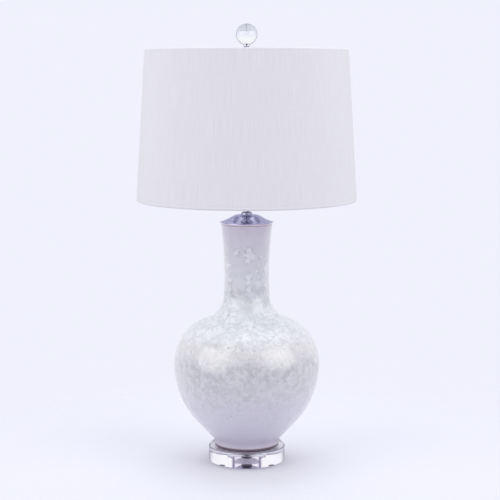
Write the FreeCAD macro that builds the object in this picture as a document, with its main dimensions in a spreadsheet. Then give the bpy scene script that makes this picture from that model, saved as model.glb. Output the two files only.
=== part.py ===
import FreeCAD, Part
import math
import os
import re
import Sketcher

# A vase table lamp: a glazed long-neck bottle vase on a clear disc, a nickel vase cap,
# a socket with its bulb and harp, and a hardback empire shade held by a ball finial.
# Millimetres, +Z up, the origin under the centre of the clear disc where the lamp stands.

SIZES = [
    # clear base disc, its feet and the fastening underneath
    ("bumper_count", 4),
    ("bumper_dia", 12.7),
    ("bumper_thk", 3.35),
    ("bumper_circle_dia", 126),
    ("base_dia", 152.4),
    ("base_thk", 30),
    ("base_edge_r", 1.2),
    ("nut_recess_dia", 50.8),
    ("nut_recess_depth", 15.5),
    ("washer_dia", 25.4),
    ("washer_thk", 2),
    ("lock_washer_dia", 17),
    ("lock_washer_thk", 1.5),
    ("lock_washer_split", 1.8),
    ("base_nut_flats", 19),
    ("base_nut_thk", 5),
    # hollow threaded rod that clamps the whole stack
    ("rod_dia", 9.7),
    ("rod_bore", 6.4),
    ("rod_tail", 2),
    ("rod_engagement", 7.5),
    ("rod_slot_width", 7),
    ("rod_slot_length", 18),
    ("rod_slot_rise", 54.75),
    ("rod_gap", 0.4),
    ("thread_gap", 0.1),
    # vase
    ("gasket_thk", 0.8),
    ("gasket_inset", 1.5),
    ("vase_height", 449.9),
    ("vase_wall", 5.5),
    ("vase_floor", 9),
    ("foot_dia", 128),
    ("foot_edge_r", 1.5),
    ("foot_rise", 4.2),
    ("foot_ring_width", 9),
    ("foot_recess", 3),
    ("foot_blend_r", 19),
    ("cone_angle", 42.3),
    ("belly_low_r", 168),
    ("belly_dia", 289.6),
    ("belly_high_r", 107),
    ("belly_high_angle", 15),
    ("shoulder_r", 89.5),
    ("neck_root_r", 53.3),
    ("neck_taper_angle", 3.3),
    ("neck_low_r", 739),
    ("neck_waist_dia", 88.2),
    ("lip_dia", 102),
    ("vase_rod_hole_dia", 14),
    # cord bushing at the back of the vase
    ("cord_hole_dia", 12),
    ("cord_hole_rise", 27),
    ("bushing_gap", 0.15),
    ("bushing_flange_dia", 17),
    ("bushing_flange_thk", 1.6),
    ("bushing_bore", 7.6),
    ("bushing_tail", 3),
    # vase cap and the turned fittings on it
    ("cap_dia", 107),
    ("cap_sheet", 0.9),
    ("cap_edge_r", 0.8),
    ("cap_hem", 1.2),
    ("cap_break_dia", 61),
    ("cap_flat_dia", 22),
    ("cap_dome_r", 37),
    ("cap_flare_r", 72),
    ("cap_gap", 0.05),
    ("collar_dia", 22.6),
    ("collar_edge", 1.3),
    ("collar_height", 5),
    ("collar_dome_r", 6.5),
    ("neck_tube_dia", 12.6),
    ("neck_tube_length", 7.8),
    # harp saddle, sleeves and harp
    ("saddle_thk", 1.6),
    ("saddle_hub_dia", 22),
    ("saddle_width", 9),
    ("saddle_span", 62),
    ("saddle_post_height", 8),
    ("sleeve_dia", 7.6),
    ("sleeve_length", 14),
    ("sleeve_gap", 0.15),
    ("harp_wire_dia", 3.6),
    ("harp_height", 292),
    ("harp_width", 106),
    ("harp_straight", 28),
    ("harp_bulge_rise", 112),
    ("harp_shoulder_r", 22),
    ("harp_flat_dia", 15),
    ("harp_flat_thk", 2),
    ("harp_flat_cover", 0.1),
    ("harp_flat_reach", 1.5),
    ("harp_end_gap", 0.05),
    ("swivel_gap", 0.1),
    ("rivet_gap", 0.5),
    ("stud_dia", 6.35),
    ("stud_flange_dia", 17),
    ("stud_flange_thk", 1.4),
    ("stud_rivet_dia", 10.5),
    ("stud_rivet_thk", 1.4),
    ("stud_length", 12.5),
    # socket
    ("socket_hub_dia", 15.6),
    ("socket_hub_height", 8),
    ("socket_bowl_start", 5),
    ("socket_cap_dia", 34.6),
    ("socket_bowl_rise", 15),
    ("socket_cap_height", 20),
    ("socket_sheet", 0.6),
    ("set_screw_dia", 3.2),
    ("set_screw_length", 5.4),
    ("set_screw_rise", 2.6),
    ("set_screw_slot", 0.8),
    ("set_screw_slot_depth", 1),
    ("shell_gap", 0.1),
    ("shell_rise", 15.5),
    ("shell_height", 46),
    ("shell_sheet", 0.5),
    ("liner_height", 45),
    ("liner_thk", 0.8),
    ("liner_gap", 0.1),
    ("core_rise", 14.2),
    ("core_flange_thk", 5),
    ("core_block_dia", 23),
    ("core_block_height", 15),
    ("core_top_dia", 29),
    ("core_top_thk", 4),
    ("core_gap", 0.3),
    ("terminal_head_dia", 6),
    ("terminal_head_thk", 2.2),
    ("terminal_shank_dia", 3.2),
    ("terminal_shank_length", 4),
    ("terminal_slot", 0.9),
    ("screw_shell_sheet", 0.6),
    ("screw_shell_height", 22),
    ("screw_shell_hole", 12),
    ("thread_pitch", 3.63),
    ("thread_depth", 0.5),
    ("screw_shell_thread_count", 4),
    ("contact_dia", 8),
    ("contact_thk", 0.8),
    ("contact_pad_dia", 5.6),
    ("contact_height", 2.8),
    ("shaft_dia", 4),
    ("shaft_gap", 0.08),
    ("shaft_depth", 7),
    ("shaft_end_gap", 0.3),
    ("knob_dia", 11),
    ("knob_length", 13),
    ("knob_standoff", 1.8),
    ("knob_grip", 8),
    ("knob_gap", 0.05),
    ("knob_edge_r", 1),
    ("knob_flute_count", 12),
    ("knob_flute_dia", 1.6),
    ("shaft_hole_gap", 0.6),
    # bulb
    ("bulb_gap", 0.3),
    ("bulb_seat_gap", 0.05),
    ("bulb_cap_dia", 26),
    ("bulb_cap_sheet", 0.9),
    ("bulb_cap_height", 21),
    ("bulb_thread_count", 4),
    ("bulb_insulator_height", 4.2),
    ("bulb_insulator_dia", 11.4),
    ("bulb_contact_dia", 9.5),
    ("bulb_contact_thk", 1.2),
    ("bulb_dia", 60),
    ("bulb_length", 108),
    ("bulb_glass_thk", 0.8),
    # shade
    ("shade_bottom_dia", 432.6),
    ("shade_top_dia", 396),
    ("shade_height", 295.5),
    ("fabric_thk", 0.5),
    ("backing_thk", 0.6),
    ("cloth_gap", 0.25),
    ("shade_wire_dia", 3.6),
    ("hem_tuck", 3),
    ("slit_gap", 0.5),
    ("weld_gap", 0.05),
    ("spider_drop", 13.4),
    ("spider_hub_dia", 27),
    ("spider_hub_thk", 1.6),
    ("spider_arm_count", 3),
    ("spider_arm_dia", 3.6),
    ("spider_bend_r", 7),
    ("hub_gap", 0.2),
    # finial
    ("ball_dia", 41.8),
    ("ball_seat_gap", 0.1),
    ("finial_height", 19.7),
    ("finial_foot_dia", 13),
    ("finial_foot_thk", 3.2),
    ("finial_groove_dia", 9.6),
    ("finial_groove_rise", 4.2),
    ("finial_body_dia", 11.2),
    ("finial_body_rise", 6),
    ("finial_neck_dia", 7.6),
    ("finial_neck_rise", 14.2),
    ("finial_cup_dia", 12.4),
    ("finial_cup_edge", 2.6),
    ("finial_bore_depth", 12),
    ("finial_post_dia", 3.6),
    ("finial_post_below", 4),
    ("finial_post_above", 7),
    ("post_gap", 0.05),
]

# Where the pieces sit and where their outlines turn, all worked out from the sizes.
PLACES = [
    # heights of the clamped stack, from the surface that the lamp stands on
    ("base_z", "bumper_thk"),
    ("base_top_z", "base_z + base_thk"),
    ("washer_z", "base_z + nut_recess_depth - washer_thk"),
    ("lock_washer_z", "washer_z - lock_washer_thk"),
    ("base_nut_z", "lock_washer_z - base_nut_thk"),
    ("rod_z", "base_nut_z - rod_tail"),
    ("rod_hole_dia", "rod_dia + 2 * rod_gap"),
    ("vase_z", "base_top_z + gasket_thk"),
    ("vase_top_z", "vase_z + vase_height"),
    # vase outline: foot blend, cone, belly, shoulder and neck, each tangent to the next
    ("blend_end_r", "foot_dia / 2 + foot_blend_r * (1 - cos(cone_angle))"),
    ("blend_end_z", "foot_rise + foot_blend_r * sin(cone_angle)"),
    ("cone_end_r", "belly_dia / 2 - belly_low_r * (1 - cos(cone_angle))"),
    ("cone_end_z", "blend_end_z + (cone_end_r - blend_end_r) / tan(cone_angle)"),
    ("belly_z", "cone_end_z + belly_low_r * sin(cone_angle)"),
    ("high_end_r", "belly_dia / 2 - belly_high_r * (1 - cos(belly_high_angle))"),
    ("high_end_z", "belly_z + belly_high_r * sin(belly_high_angle)"),
    ("neck_taper_r", "neck_waist_dia / 2 + neck_low_r * (1 - cos(neck_taper_angle))"),
    ("shoulder_cos", "(shoulder_r * cos(belly_high_angle) + neck_root_r * cos(neck_taper_angle)"
                     " + neck_taper_r - high_end_r) / (shoulder_r + neck_root_r)"),
    ("shoulder_angle", "acos(shoulder_cos) / 1deg"),
    ("shoulder_end_r", "high_end_r - shoulder_r * (cos(belly_high_angle) - shoulder_cos)"),
    ("shoulder_end_z", "high_end_z + shoulder_r * (sin(shoulder_angle) - sin(belly_high_angle))"),
    ("neck_taper_z", "shoulder_end_z + neck_root_r * (sin(shoulder_angle) - sin(neck_taper_angle))"),
    ("waist_z", "neck_taper_z + neck_low_r * sin(neck_taper_angle)"),
    ("lip_r", "lip_dia / 2"),
    ("lip_round", "vase_wall / 2"),
    ("lip_z", "vase_height - lip_round"),
    ("lip_flare_r", "((lip_z - waist_z) ^ 2 + (lip_r - neck_waist_dia / 2) ^ 2)"
                    " / (2 * (lip_r - neck_waist_dia / 2))"),
    # vase inner outline, one wall inside the outer one
    ("in_cone_r", "cone_end_r - vase_wall * cos(cone_angle)"),
    ("in_cone_z", "cone_end_z + vase_wall * sin(cone_angle)"),
    ("in_floor_r", "in_cone_r - (in_cone_z - vase_floor) * tan(cone_angle)"),
    ("in_high_r", "high_end_r - vase_wall * cos(belly_high_angle)"),
    ("in_high_z", "high_end_z - vase_wall * sin(belly_high_angle)"),
    ("in_shoulder_r", "shoulder_end_r - vase_wall * shoulder_cos"),
    ("in_shoulder_z", "shoulder_end_z - vase_wall * sin(shoulder_angle)"),
    ("in_taper_r", "neck_taper_r - vase_wall * cos(neck_taper_angle)"),
    ("in_taper_z", "neck_taper_z - vase_wall * sin(neck_taper_angle)"),
    # cord hole: on the cone, square to the wall
    ("cord_r", "blend_end_r + (cord_hole_rise - blend_end_z) * tan(cone_angle)"),
    ("cord_z", "vase_z + cord_hole_rise"),
    # vase cap outline: flat top, dome, then a flare that meets it smoothly and a turned-down edge
    ("dome_sin", "(cap_break_dia - cap_flat_dia) / 2 / cap_dome_r"),
    ("dome_cos", "sqrt(1 - dome_sin ^ 2)"),
    ("edge_r", "cap_dia / 2 - cap_edge_r"),
    ("flare_centre_r", "cap_flat_dia / 2 + (cap_dome_r + cap_flare_r) * dome_sin"),
    ("flare_centre_z", "cap_hem + sqrt(cap_flare_r ^ 2 - (flare_centre_r - edge_r) ^ 2)"),
    ("break_z", "flare_centre_z - cap_flare_r * dome_cos"),
    ("cap_height", "break_z + cap_dome_r * (1 - dome_cos)"),
    ("under_edge_r", "cap_dia / 2 - cap_sheet"),
    ("under_edge_z", "flare_centre_z - sqrt((cap_flare_r + cap_sheet) ^ 2"
                     " - (flare_centre_r - under_edge_r) ^ 2)"),
    ("under_break_r", "flare_centre_r - (cap_flare_r + cap_sheet) * dome_sin"),
    ("under_break_z", "flare_centre_z - (cap_flare_r + cap_sheet) * dome_cos"),
    # the cap's underside rests on the rounded lip of the vase
    ("lip_centre_r", "lip_r - lip_round"),
    ("cap_reach", "cap_flare_r + cap_sheet + lip_round + cap_gap"),
    ("cap_z", "vase_z + lip_z + sqrt(cap_reach ^ 2 - (flare_centre_r - lip_centre_r) ^ 2)"
              " - flare_centre_z"),
    # fittings above the cap
    ("collar_z", "cap_z + cap_height"),
    ("neck_tube_z", "collar_z + collar_height"),
    ("saddle_z", "neck_tube_z + neck_tube_length"),
    ("saddle_top_z", "saddle_z + saddle_thk"),
    ("rod_length", "saddle_top_z + rod_engagement - rod_z"),
    # harp centre line, from the top of the saddle's posts
    ("harp_z", "saddle_top_z + saddle_post_height + harp_end_gap"),
    ("harp_leg_r", "saddle_span / 2"),
    ("harp_sway", "(harp_width - saddle_span) / 2"),
    ("harp_sway_r", "(harp_sway ^ 2 + (harp_bulge_rise - harp_straight) ^ 2) / (4 * harp_sway)"),
    ("harp_sway_x", "harp_leg_r + harp_sway / 2"),
    ("harp_sway_z", "(harp_straight + harp_bulge_rise) / 2"),
    ("harp_top_z", "saddle_top_z + harp_height"),
    ("harp_crest", "harp_height - saddle_post_height - harp_end_gap - harp_flat_cover"
                   " - harp_wire_dia / 2"),
    ("harp_flat_r", "harp_flat_dia / 2 + harp_flat_reach"),
    ("harp_plate_top", "harp_crest + harp_wire_dia / 2 + harp_flat_cover"),
    ("harp_plate_low", "harp_plate_top - harp_flat_thk"),
    ("harp_crown_run", "harp_width / 2 - harp_flat_r - harp_shoulder_r"),
    ("harp_crown_rise", "harp_crest - harp_bulge_rise - harp_shoulder_r"),
    ("harp_crown_angle", "2 * atan(harp_crown_run / harp_crown_rise) / 1deg"),
    ("harp_crown_r", "harp_shoulder_r + harp_crown_rise / sin(harp_crown_angle)"),
    ("harp_turn_x", "harp_flat_r + harp_shoulder_r * cos(harp_crown_angle)"),
    ("harp_turn_z", "harp_crest - harp_shoulder_r * (1 - sin(harp_crown_angle))"),
    # socket, counted from the saddle's top
    ("bowl_sag", "socket_cap_dia / 2 - socket_hub_dia / 2"),
    ("bowl_r", "(bowl_sag ^ 2 + (socket_bowl_rise - socket_bowl_start) ^ 2) / (2 * bowl_sag)"),
    ("bowl_in_r", "socket_cap_dia / 2 - socket_sheet"),
    ("bowl_in_z", "socket_bowl_rise - sqrt((bowl_r - socket_sheet) ^ 2"
                  " - (socket_hub_dia / 2 - socket_cap_dia / 2 + bowl_r) ^ 2)"),
    ("shell_out_r", "bowl_in_r - shell_gap"),
    ("liner_out_r", "shell_out_r - shell_sheet - liner_gap"),
    ("core_out_r", "liner_out_r - liner_thk - core_gap"),
    ("core_top_rise", "core_rise + core_flange_thk + core_block_height"),
    ("screw_shell_rise", "core_top_rise + core_top_thk"),
    ("screw_in_r", "bulb_cap_dia / 2 + bulb_gap"),
    ("screw_out_r", "screw_in_r + thread_depth + screw_shell_sheet"),
    ("block_mid_rise", "core_rise + core_flange_thk + core_block_height / 2"),
    ("block_mid_z", "saddle_top_z + block_mid_rise"),
    ("shaft_start_r", "core_block_dia / 2 - shaft_depth"),
    ("knob_start_r", "shell_out_r + knob_standoff"),
    # bulb outline: screw cap, then an S curve into the globe
    ("bulb_z", "saddle_top_z + screw_shell_rise + contact_height + bulb_seat_gap"),
    ("bulb_cap_top", "bulb_insulator_height + bulb_cap_height"),
    ("globe_r", "bulb_dia / 2"),
    ("globe_z", "bulb_length - globe_r"),
    ("glass_run", "globe_r - bulb_cap_dia / 2"),
    ("glass_rise", "globe_z - bulb_cap_top"),
    ("glass_sum", "(glass_run ^ 2 + glass_rise ^ 2) / (2 * glass_run)"),
    ("glass_neck_r", "glass_sum - globe_r"),
    ("glass_join_r", "bulb_cap_dia / 2 + glass_run * glass_neck_r / glass_sum"),
    ("glass_join_z", "bulb_cap_top + glass_rise * glass_neck_r / glass_sum"),
    ("glass_in_scale", "(globe_r - bulb_glass_thk) / globe_r"),
    ("glass_in_join_r", "glass_join_r * glass_in_scale"),
    ("glass_in_join_z", "globe_z - (globe_z - glass_join_z) * glass_in_scale"),
    # shade: a cone hung from the spider, whose hub lies on the stud's flange
    ("hub_z", "harp_top_z + stud_flange_thk"),
    ("hub_top_z", "hub_z + spider_hub_thk"),
    ("shade_top_z", "hub_top_z + spider_drop"),
    ("shade_z", "shade_top_z - shade_height"),
    ("shade_slope", "(shade_bottom_dia - shade_top_dia) / 2 / shade_height"),
    ("lean", "atan(shade_slope) / 1deg"),
    ("wrap_r", "shade_wire_dia / 2 + weld_gap"),
    ("backing_out_r", "wrap_r + backing_thk"),
    ("hem_in_r", "backing_out_r + cloth_gap"),
    ("hem_r", "hem_in_r + fabric_thk"),
    ("ring_low_r", "shade_bottom_dia / 2 - hem_r * (shade_slope + 1 / cos(lean))"),
    ("ring_low_z", "hem_r"),
    ("ring_top_r", "shade_top_dia / 2 + hem_r * (shade_slope - 1 / cos(lean))"),
    ("ring_top_z", "shade_height - hem_r"),
    ("arm_mid_z", "spider_hub_thk / 2"),
    ("arm_end_r", "ring_top_r - wrap_r - spider_arm_dia / 2"),
    ("arm_start_r", "spider_hub_dia / 2 - spider_arm_dia"),
    ("arm_top_z", "spider_hub_thk + spider_drop - hem_r + shade_wire_dia / 2"),
    # finial
    ("ball_r", "ball_dia / 2"),
    ("seat_r", "ball_r + ball_seat_gap"),
    ("ball_z", "finial_height + seat_r"),
    ("cup_rim_z", "ball_z - sqrt(seat_r ^ 2 - (finial_cup_dia / 2) ^ 2)"),
    ("post_hole_r", "finial_post_dia / 2 + post_gap"),
    ("seat_hole_z", "ball_z - sqrt(seat_r ^ 2 - post_hole_r ^ 2)"),
    ("post_low_z", "finial_height - finial_post_below"),
    ("post_top_z", "finial_height + finial_post_above"),
]

doc = FreeCAD.newDocument("vase_table_lamp")
sizes = doc.addObject("Spreadsheet::Sheet", "sizes")
for row, (word, amount) in enumerate(SIZES, start=1):
    sizes.set("A%d" % row, word)
    sizes.set("B%d" % row, str(amount))
    sizes.setAlias("B%d" % row, word)
places = doc.addObject("Spreadsheet::Sheet", "places")
SIZE_WORDS = {word for word, amount in SIZES}
PLACE_WORDS = {word for word, formula in PLACES}


def bound(formula):
    """The formula with every size and place spelled out as its cell in the document."""
    def spell(found):
        word = found.group(0)
        if word in SIZE_WORDS:
            return "sizes." + word
        if word in PLACE_WORDS:
            return "places." + word
        return word
    return re.sub(r"[a-z][a-z_]+", spell, formula)


for row, (word, formula) in enumerate(PLACES, start=1):
    places.set("A%d" % row, word)
    places.set("B%d" % row, "=" + bound(formula).replace("places.", ""))
    places.setAlias("B%d" % row, word)
doc.recompute()


def number(formula):
    """What a formula of sizes and places comes to, in millimetres or degrees."""
    return float(places.evalExpression(bound(formula)))


PARTS = []


def aim(part, angle):
    """Turn a part about its own X axis by a formula, so that its +Z leans to the back."""
    turn = FreeCAD.Rotation(FreeCAD.Vector(1, 0, 0), number(angle))
    part.Placement = FreeCAD.Placement(FreeCAD.Vector(), turn)
    part.setExpression("Placement.Rotation.Angle", bound(angle))


def keep(part, place):
    """List a finished sub-part and bind its place, given as x, y and z formulas."""
    for letter, formula in zip("xyz", place):
        if formula:
            part.setExpression("Placement.Base." + letter, bound(formula))
    PARTS.append(part)
    return part


def new_body(label):
    body = doc.addObject("PartDesign::Body", label)
    body.Label = label
    return body


def new_sketch(body, name, role="XZ_Plane", rise=None, turn=None):
    """A sketch on one of the body's own origin planes, raised along the plane's normal."""
    sketch = body.newObject("Sketcher::SketchObject", name)
    plane = [item for item in body.Origin.OriginFeatures if item.Role == role][0]
    sketch.AttachmentSupport = (plane, [""])
    sketch.MapMode = "FlatFace"
    if rise:
        sketch.setExpression("AttachmentOffset.Base.z", bound(rise))
    return sketch


def hold(sketch, kind, *where, formula):
    """Add one dimension to a sketch and bind it to a formula."""
    index = sketch.addConstraint(Sketcher.Constraint(kind, *where, number(formula)))
    sketch.setExpression("Constraints[%d]" % index, bound(formula))


def pin_point(sketch, edge, end, x, y):
    """Fix a point of a sketch by its two formulas; a plain 0 puts it on that axis."""
    if x == "0":
        sketch.addConstraint(Sketcher.Constraint("PointOnObject", edge, end, -2))
    else:
        hold(sketch, "DistanceX", -1, 1, edge, end, formula=x)
    if y == "0":
        sketch.addConstraint(Sketcher.Constraint("PointOnObject", edge, end, -1))
    else:
        hold(sketch, "DistanceY", -1, 1, edge, end, formula=y)


def draw(sketch, corners, closed=True):
    """Lines and arcs through corners (x, y), or (x, y, radius, side) for an arc that
    arrives there with its centre on the left or the right of the way it goes."""
    points = [FreeCAD.Vector(number(corner[0]), number(corner[1]), 0) for corner in corners]
    count = len(corners)
    ends = []
    for index in range(count if closed else count - 1):
        follow = (index + 1) % count
        start, finish = points[index], points[follow]
        if len(corners[follow]) == 2:
            edge = sketch.addGeometry(Part.LineSegment(start, finish), False)
            ends.append((edge, 1, 2))
            continue
        radius, side = corners[follow][2:]
        chord = finish - start
        normal = FreeCAD.Vector(-chord.y, chord.x, 0).normalize()
        if side == "right":
            normal = -normal
        reach = math.sqrt(max(number(radius) ** 2 - (chord.Length / 2) ** 2, 0))
        centre = (start + finish) / 2 + normal * reach
        first, last = (start, finish) if side == "left" else (finish, start)
        angles = [math.atan2(point.y - centre.y, point.x - centre.x) for point in (first, last)]
        if angles[1] < angles[0]:
            angles[1] += 2 * math.pi
        circle = Part.Circle(centre, FreeCAD.Vector(0, 0, 1), number(radius))
        edge = sketch.addGeometry(Part.ArcOfCircle(circle, *angles), False)
        ends.append((edge, 1, 2) if side == "left" else (edge, 2, 1))
        hold(sketch, "Radius", edge, formula=radius)
    for index, (edge, start, finish) in enumerate(ends):
        pin_point(sketch, edge, start, *corners[index][:2])
        if closed or index + 1 < len(ends):
            follow = ends[(index + 1) % len(ends)]
            sketch.addConstraint(Sketcher.Constraint("Coincident", edge, finish, follow[0], follow[1]))
        else:
            pin_point(sketch, edge, finish, *corners[index + 1][:2])
    return sketch


def ring(sketch, diameter, x="0", y="0"):
    """A circle with its centre at the origin or at (x, y)."""
    middle = FreeCAD.Vector(number(x), number(y), 0)
    circle = Part.Circle(middle, FreeCAD.Vector(0, 0, 1), number(diameter) / 2)
    edge = sketch.addGeometry(circle, False)
    if x == "0" and y == "0":
        sketch.addConstraint(Sketcher.Constraint("Coincident", edge, 3, -1, 1))
    else:
        pin_point(sketch, edge, 3, x, y)
    hold(sketch, "Diameter", edge, formula=diameter)
    return sketch


def feature(body, kind, name, sketch=None):
    made = body.newObject("PartDesign::" + kind, name)
    if sketch is not None:
        made.Profile = sketch
        sketch.Visibility = False
    return made


def revolve(body, corners, name="turned", cut=False, axis="V_Axis"):
    """Turn an outline, drawn as radius and height, about the body's Z axis."""
    sketch = draw(new_sketch(body, name + "_outline"), corners)
    made = feature(body, "Groove" if cut else "Revolution", name, sketch)
    made.ReferenceAxis = (sketch, [axis])
    made.Angle = 360
    return made


def extrude(body, sketch, length, name="raised", cut=False, both=False, upward=True):
    made = feature(body, "Pocket" if cut else "Pad", name, sketch)
    made.setExpression("Length", bound(length))
    made.Midplane = both
    made.Reversed = upward if cut else not upward
    return made


def repeat_round(body, made, count, name="around"):
    """Repeat a feature round the body's Z axis."""
    pattern = body.newObject("PartDesign::PolarPattern", name)
    pattern.Originals = [made]
    axis = [item for item in body.Origin.OriginFeatures if item.Role == "Z_Axis"][0]
    pattern.Axis = (axis, [""])
    pattern.Angle = 360
    pattern.setExpression("Occurrences", bound(count))
    body.Tip = pattern
    return pattern


def tube_corners(outer, inner, height, start="0"):
    """Corners of a plain tube's section: outer and inner radius, from start to height."""
    return [(inner, start), (outer, start), (outer, height), (inner, height)]


# clear disc, feet and nut


def make_bumpers():
    body = new_body("foot_bumpers")
    spot = ring(new_sketch(body, "pad", "XY_Plane"), "bumper_dia", "bumper_circle_dia / 2")
    pad = extrude(body, spot, "bumper_thk")
    repeat_round(body, pad, "bumper_count")
    body.Placement = FreeCAD.Placement(FreeCAD.Vector(), FreeCAD.Rotation(FreeCAD.Vector(0, 0, 1), 45))
    return keep(body, ("", "", ""))


def make_base():
    body = new_body("acrylic_base")
    rim, edge = "base_dia / 2", "base_edge_r"
    revolve(body, [
        ("nut_recess_dia / 2", "0"),
        (rim + " - " + edge, "0"),
        (rim, edge, edge, "left"),
        (rim, "base_thk - " + edge),
        (rim + " - " + edge, "base_thk", edge, "left"),
        ("rod_hole_dia / 2", "base_thk"),
        ("rod_hole_dia / 2", "nut_recess_depth"),
        ("nut_recess_dia / 2", "nut_recess_depth"),
    ])
    return keep(body, ("", "", "base_z"))


def make_washer():
    body = new_body("base_washer")
    revolve(body, tube_corners("washer_dia / 2", "rod_hole_dia / 2", "washer_thk"))
    return keep(body, ("", "", "washer_z"))


def make_lock_washer():
    body = new_body("base_lock_washer")
    revolve(body, tube_corners("lock_washer_dia / 2", "rod_hole_dia / 2", "lock_washer_thk"))
    slit = draw(new_sketch(body, "slit", "XY_Plane"), [
        ("0", "lock_washer_split / 2"),
        ("0", "-lock_washer_split / 2"),
        ("lock_washer_dia", "-lock_washer_split / 2"),
        ("lock_washer_dia", "lock_washer_split / 2"),
    ])
    extrude(body, slit, "lock_washer_thk", "split", cut=True)
    return keep(body, ("", "", "lock_washer_z"))


def make_base_nut():
    blank = doc.addObject("Part::Prism", "nut_blank")
    blank.Polygon = 6
    blank.setExpression("Circumradius", bound("base_nut_flats / sqrt(3)"))
    blank.setExpression("Height", bound("base_nut_thk"))
    bore = doc.addObject("Part::Cylinder", "nut_bore")
    bore.setExpression("Radius", bound("rod_dia / 2 + thread_gap"))
    bore.setExpression("Height", bound("base_nut_thk"))
    nut = doc.addObject("Part::Cut", "base_nut")
    nut.Base = blank
    nut.Tool = bore
    nut.Label = "base_nut"
    return keep(nut, ("", "", "base_nut_z"))


def make_rod():
    body = new_body("threaded_rod")
    revolve(body, tube_corners("rod_dia / 2", "rod_bore / 2", "rod_length"))
    half, low, high = "rod_slot_width / 2", "rod_slot_rise", "rod_slot_rise + rod_slot_length"
    slot = draw(new_sketch(body, "cord_slot"), [
        (half, low, half, "left"),
        (half, high),
        ("0", high + " + " + half, half, "left"),
        ("-" + half, high, half, "left"),
        ("-" + half, low),
        ("0", low + " - " + half, half, "left"),
    ])
    # the slot faces the back, where the cord comes in
    extrude(body, slot, "rod_dia", "cord_way", cut=True, upward=False)
    return keep(body, ("", "", "rod_z"))


# vase and its bushing


def make_gasket():
    body = new_body("foot_gasket")
    outer = "foot_dia / 2 - gasket_inset"
    inner = "foot_dia / 2 - foot_ring_width + gasket_inset"
    revolve(body, tube_corners(outer, inner, "gasket_thk"))
    return keep(body, ("", "", "base_top_z"))


def make_vase():
    body = new_body("vase")
    foot_r, waist_r = "foot_dia / 2", "neck_waist_dia / 2"
    revolve(body, [
        ("vase_rod_hole_dia / 2", "foot_recess"),
        (foot_r + " - foot_ring_width", "foot_recess"),
        (foot_r + " - foot_ring_width", "0"),
        (foot_r + " - foot_edge_r", "0"),
        (foot_r, "foot_edge_r", "foot_edge_r", "left"),
        (foot_r, "foot_rise"),
        ("blend_end_r", "blend_end_z", "foot_blend_r", "right"),
        ("cone_end_r", "cone_end_z"),
        ("belly_dia / 2", "belly_z", "belly_low_r", "left"),
        ("high_end_r", "high_end_z", "belly_high_r", "left"),
        ("shoulder_end_r", "shoulder_end_z", "shoulder_r", "left"),
        ("neck_taper_r", "neck_taper_z", "neck_root_r", "right"),
        (waist_r, "waist_z", "neck_low_r", "right"),
        ("lip_r", "lip_z", "lip_flare_r", "right"),
        ("lip_r - lip_round", "vase_height", "lip_round", "left"),
        ("lip_r - vase_wall", "lip_z", "lip_round", "left"),
        (waist_r + " - vase_wall", "waist_z", "lip_flare_r + vase_wall", "left"),
        ("in_taper_r", "in_taper_z", "neck_low_r + vase_wall", "left"),
        ("in_shoulder_r", "in_shoulder_z", "neck_root_r + vase_wall", "left"),
        ("in_high_r", "in_high_z", "shoulder_r - vase_wall", "right"),
        ("belly_dia / 2 - vase_wall", "belly_z", "belly_high_r - vase_wall", "right"),
        ("in_cone_r", "in_cone_z", "belly_low_r - vase_wall", "right"),
        ("in_floor_r", "vase_floor"),
        ("vase_rod_hole_dia / 2", "vase_floor"),
    ])
    hole = body.newObject("PartDesign::SubtractiveCylinder", "cord_hole")
    hole.setExpression("Radius", bound("cord_hole_dia / 2"))
    hole.setExpression("Height", bound("4 * vase_wall"))
    aim(hole, "-90 - cone_angle")
    hole.setExpression("Placement.Base.y", bound("cord_r - 2 * vase_wall * cos(cone_angle)"))
    hole.setExpression("Placement.Base.z", bound("cord_hole_rise + 2 * vase_wall * sin(cone_angle)"))
    return keep(body, ("", "", "vase_z"))


def make_bushing():
    # local +Z leaves the vase, square to its wall, and 0 is the wall's outer face
    body = new_body("cord_bushing")
    bore, sleeve, rim = "bushing_bore / 2", "cord_hole_dia / 2 - bushing_gap", "bushing_flange_dia / 2"
    inner, outer = "-vase_wall - bushing_tail", "bushing_gap + bushing_flange_thk"
    revolve(body, [(bore, inner), (sleeve, inner), (sleeve, "bushing_gap"), (rim, "bushing_gap"),
                   (rim, outer), (bore, outer)])
    aim(body, "-90 - cone_angle")
    return keep(body, ("", "cord_r", "cord_z"))


# vase cap, collar and neck tube


def make_cap():
    body = new_body("vase_cap")
    rim, hole = "cap_dia / 2", "rod_hole_dia / 2"
    revolve(body, [
        ("under_edge_r", "0"),
        (rim, "0"),
        (rim, "cap_hem - cap_edge_r"),
        ("edge_r", "cap_hem", "cap_edge_r", "left"),
        ("cap_break_dia / 2", "break_z", "cap_flare_r", "right"),
        ("cap_flat_dia / 2", "cap_height", "cap_dome_r", "left"),
        (hole, "cap_height"),
        (hole, "cap_height - cap_sheet"),
        ("cap_flat_dia / 2", "cap_height - cap_sheet"),
        ("under_break_r", "under_break_z", "cap_dome_r - cap_sheet", "right"),
        ("under_edge_r", "under_edge_z", "cap_flare_r + cap_sheet", "left"),
    ])
    return keep(body, ("", "", "cap_z"))


def make_collar():
    body = new_body("neck_collar")
    revolve(body, [
        ("rod_hole_dia / 2", "0"),
        ("collar_dia / 2", "0"),
        ("collar_dia / 2", "collar_edge"),
        ("neck_tube_dia / 2", "collar_height", "collar_dome_r", "left"),
        ("rod_hole_dia / 2", "collar_height"),
    ])
    return keep(body, ("", "", "collar_z"))


def make_neck_tube():
    body = new_body("neck_tube")
    revolve(body, tube_corners("neck_tube_dia / 2", "rod_hole_dia / 2", "neck_tube_length"))
    return keep(body, ("", "", "neck_tube_z"))


# harp saddle, harp, sleeves and stud


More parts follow.
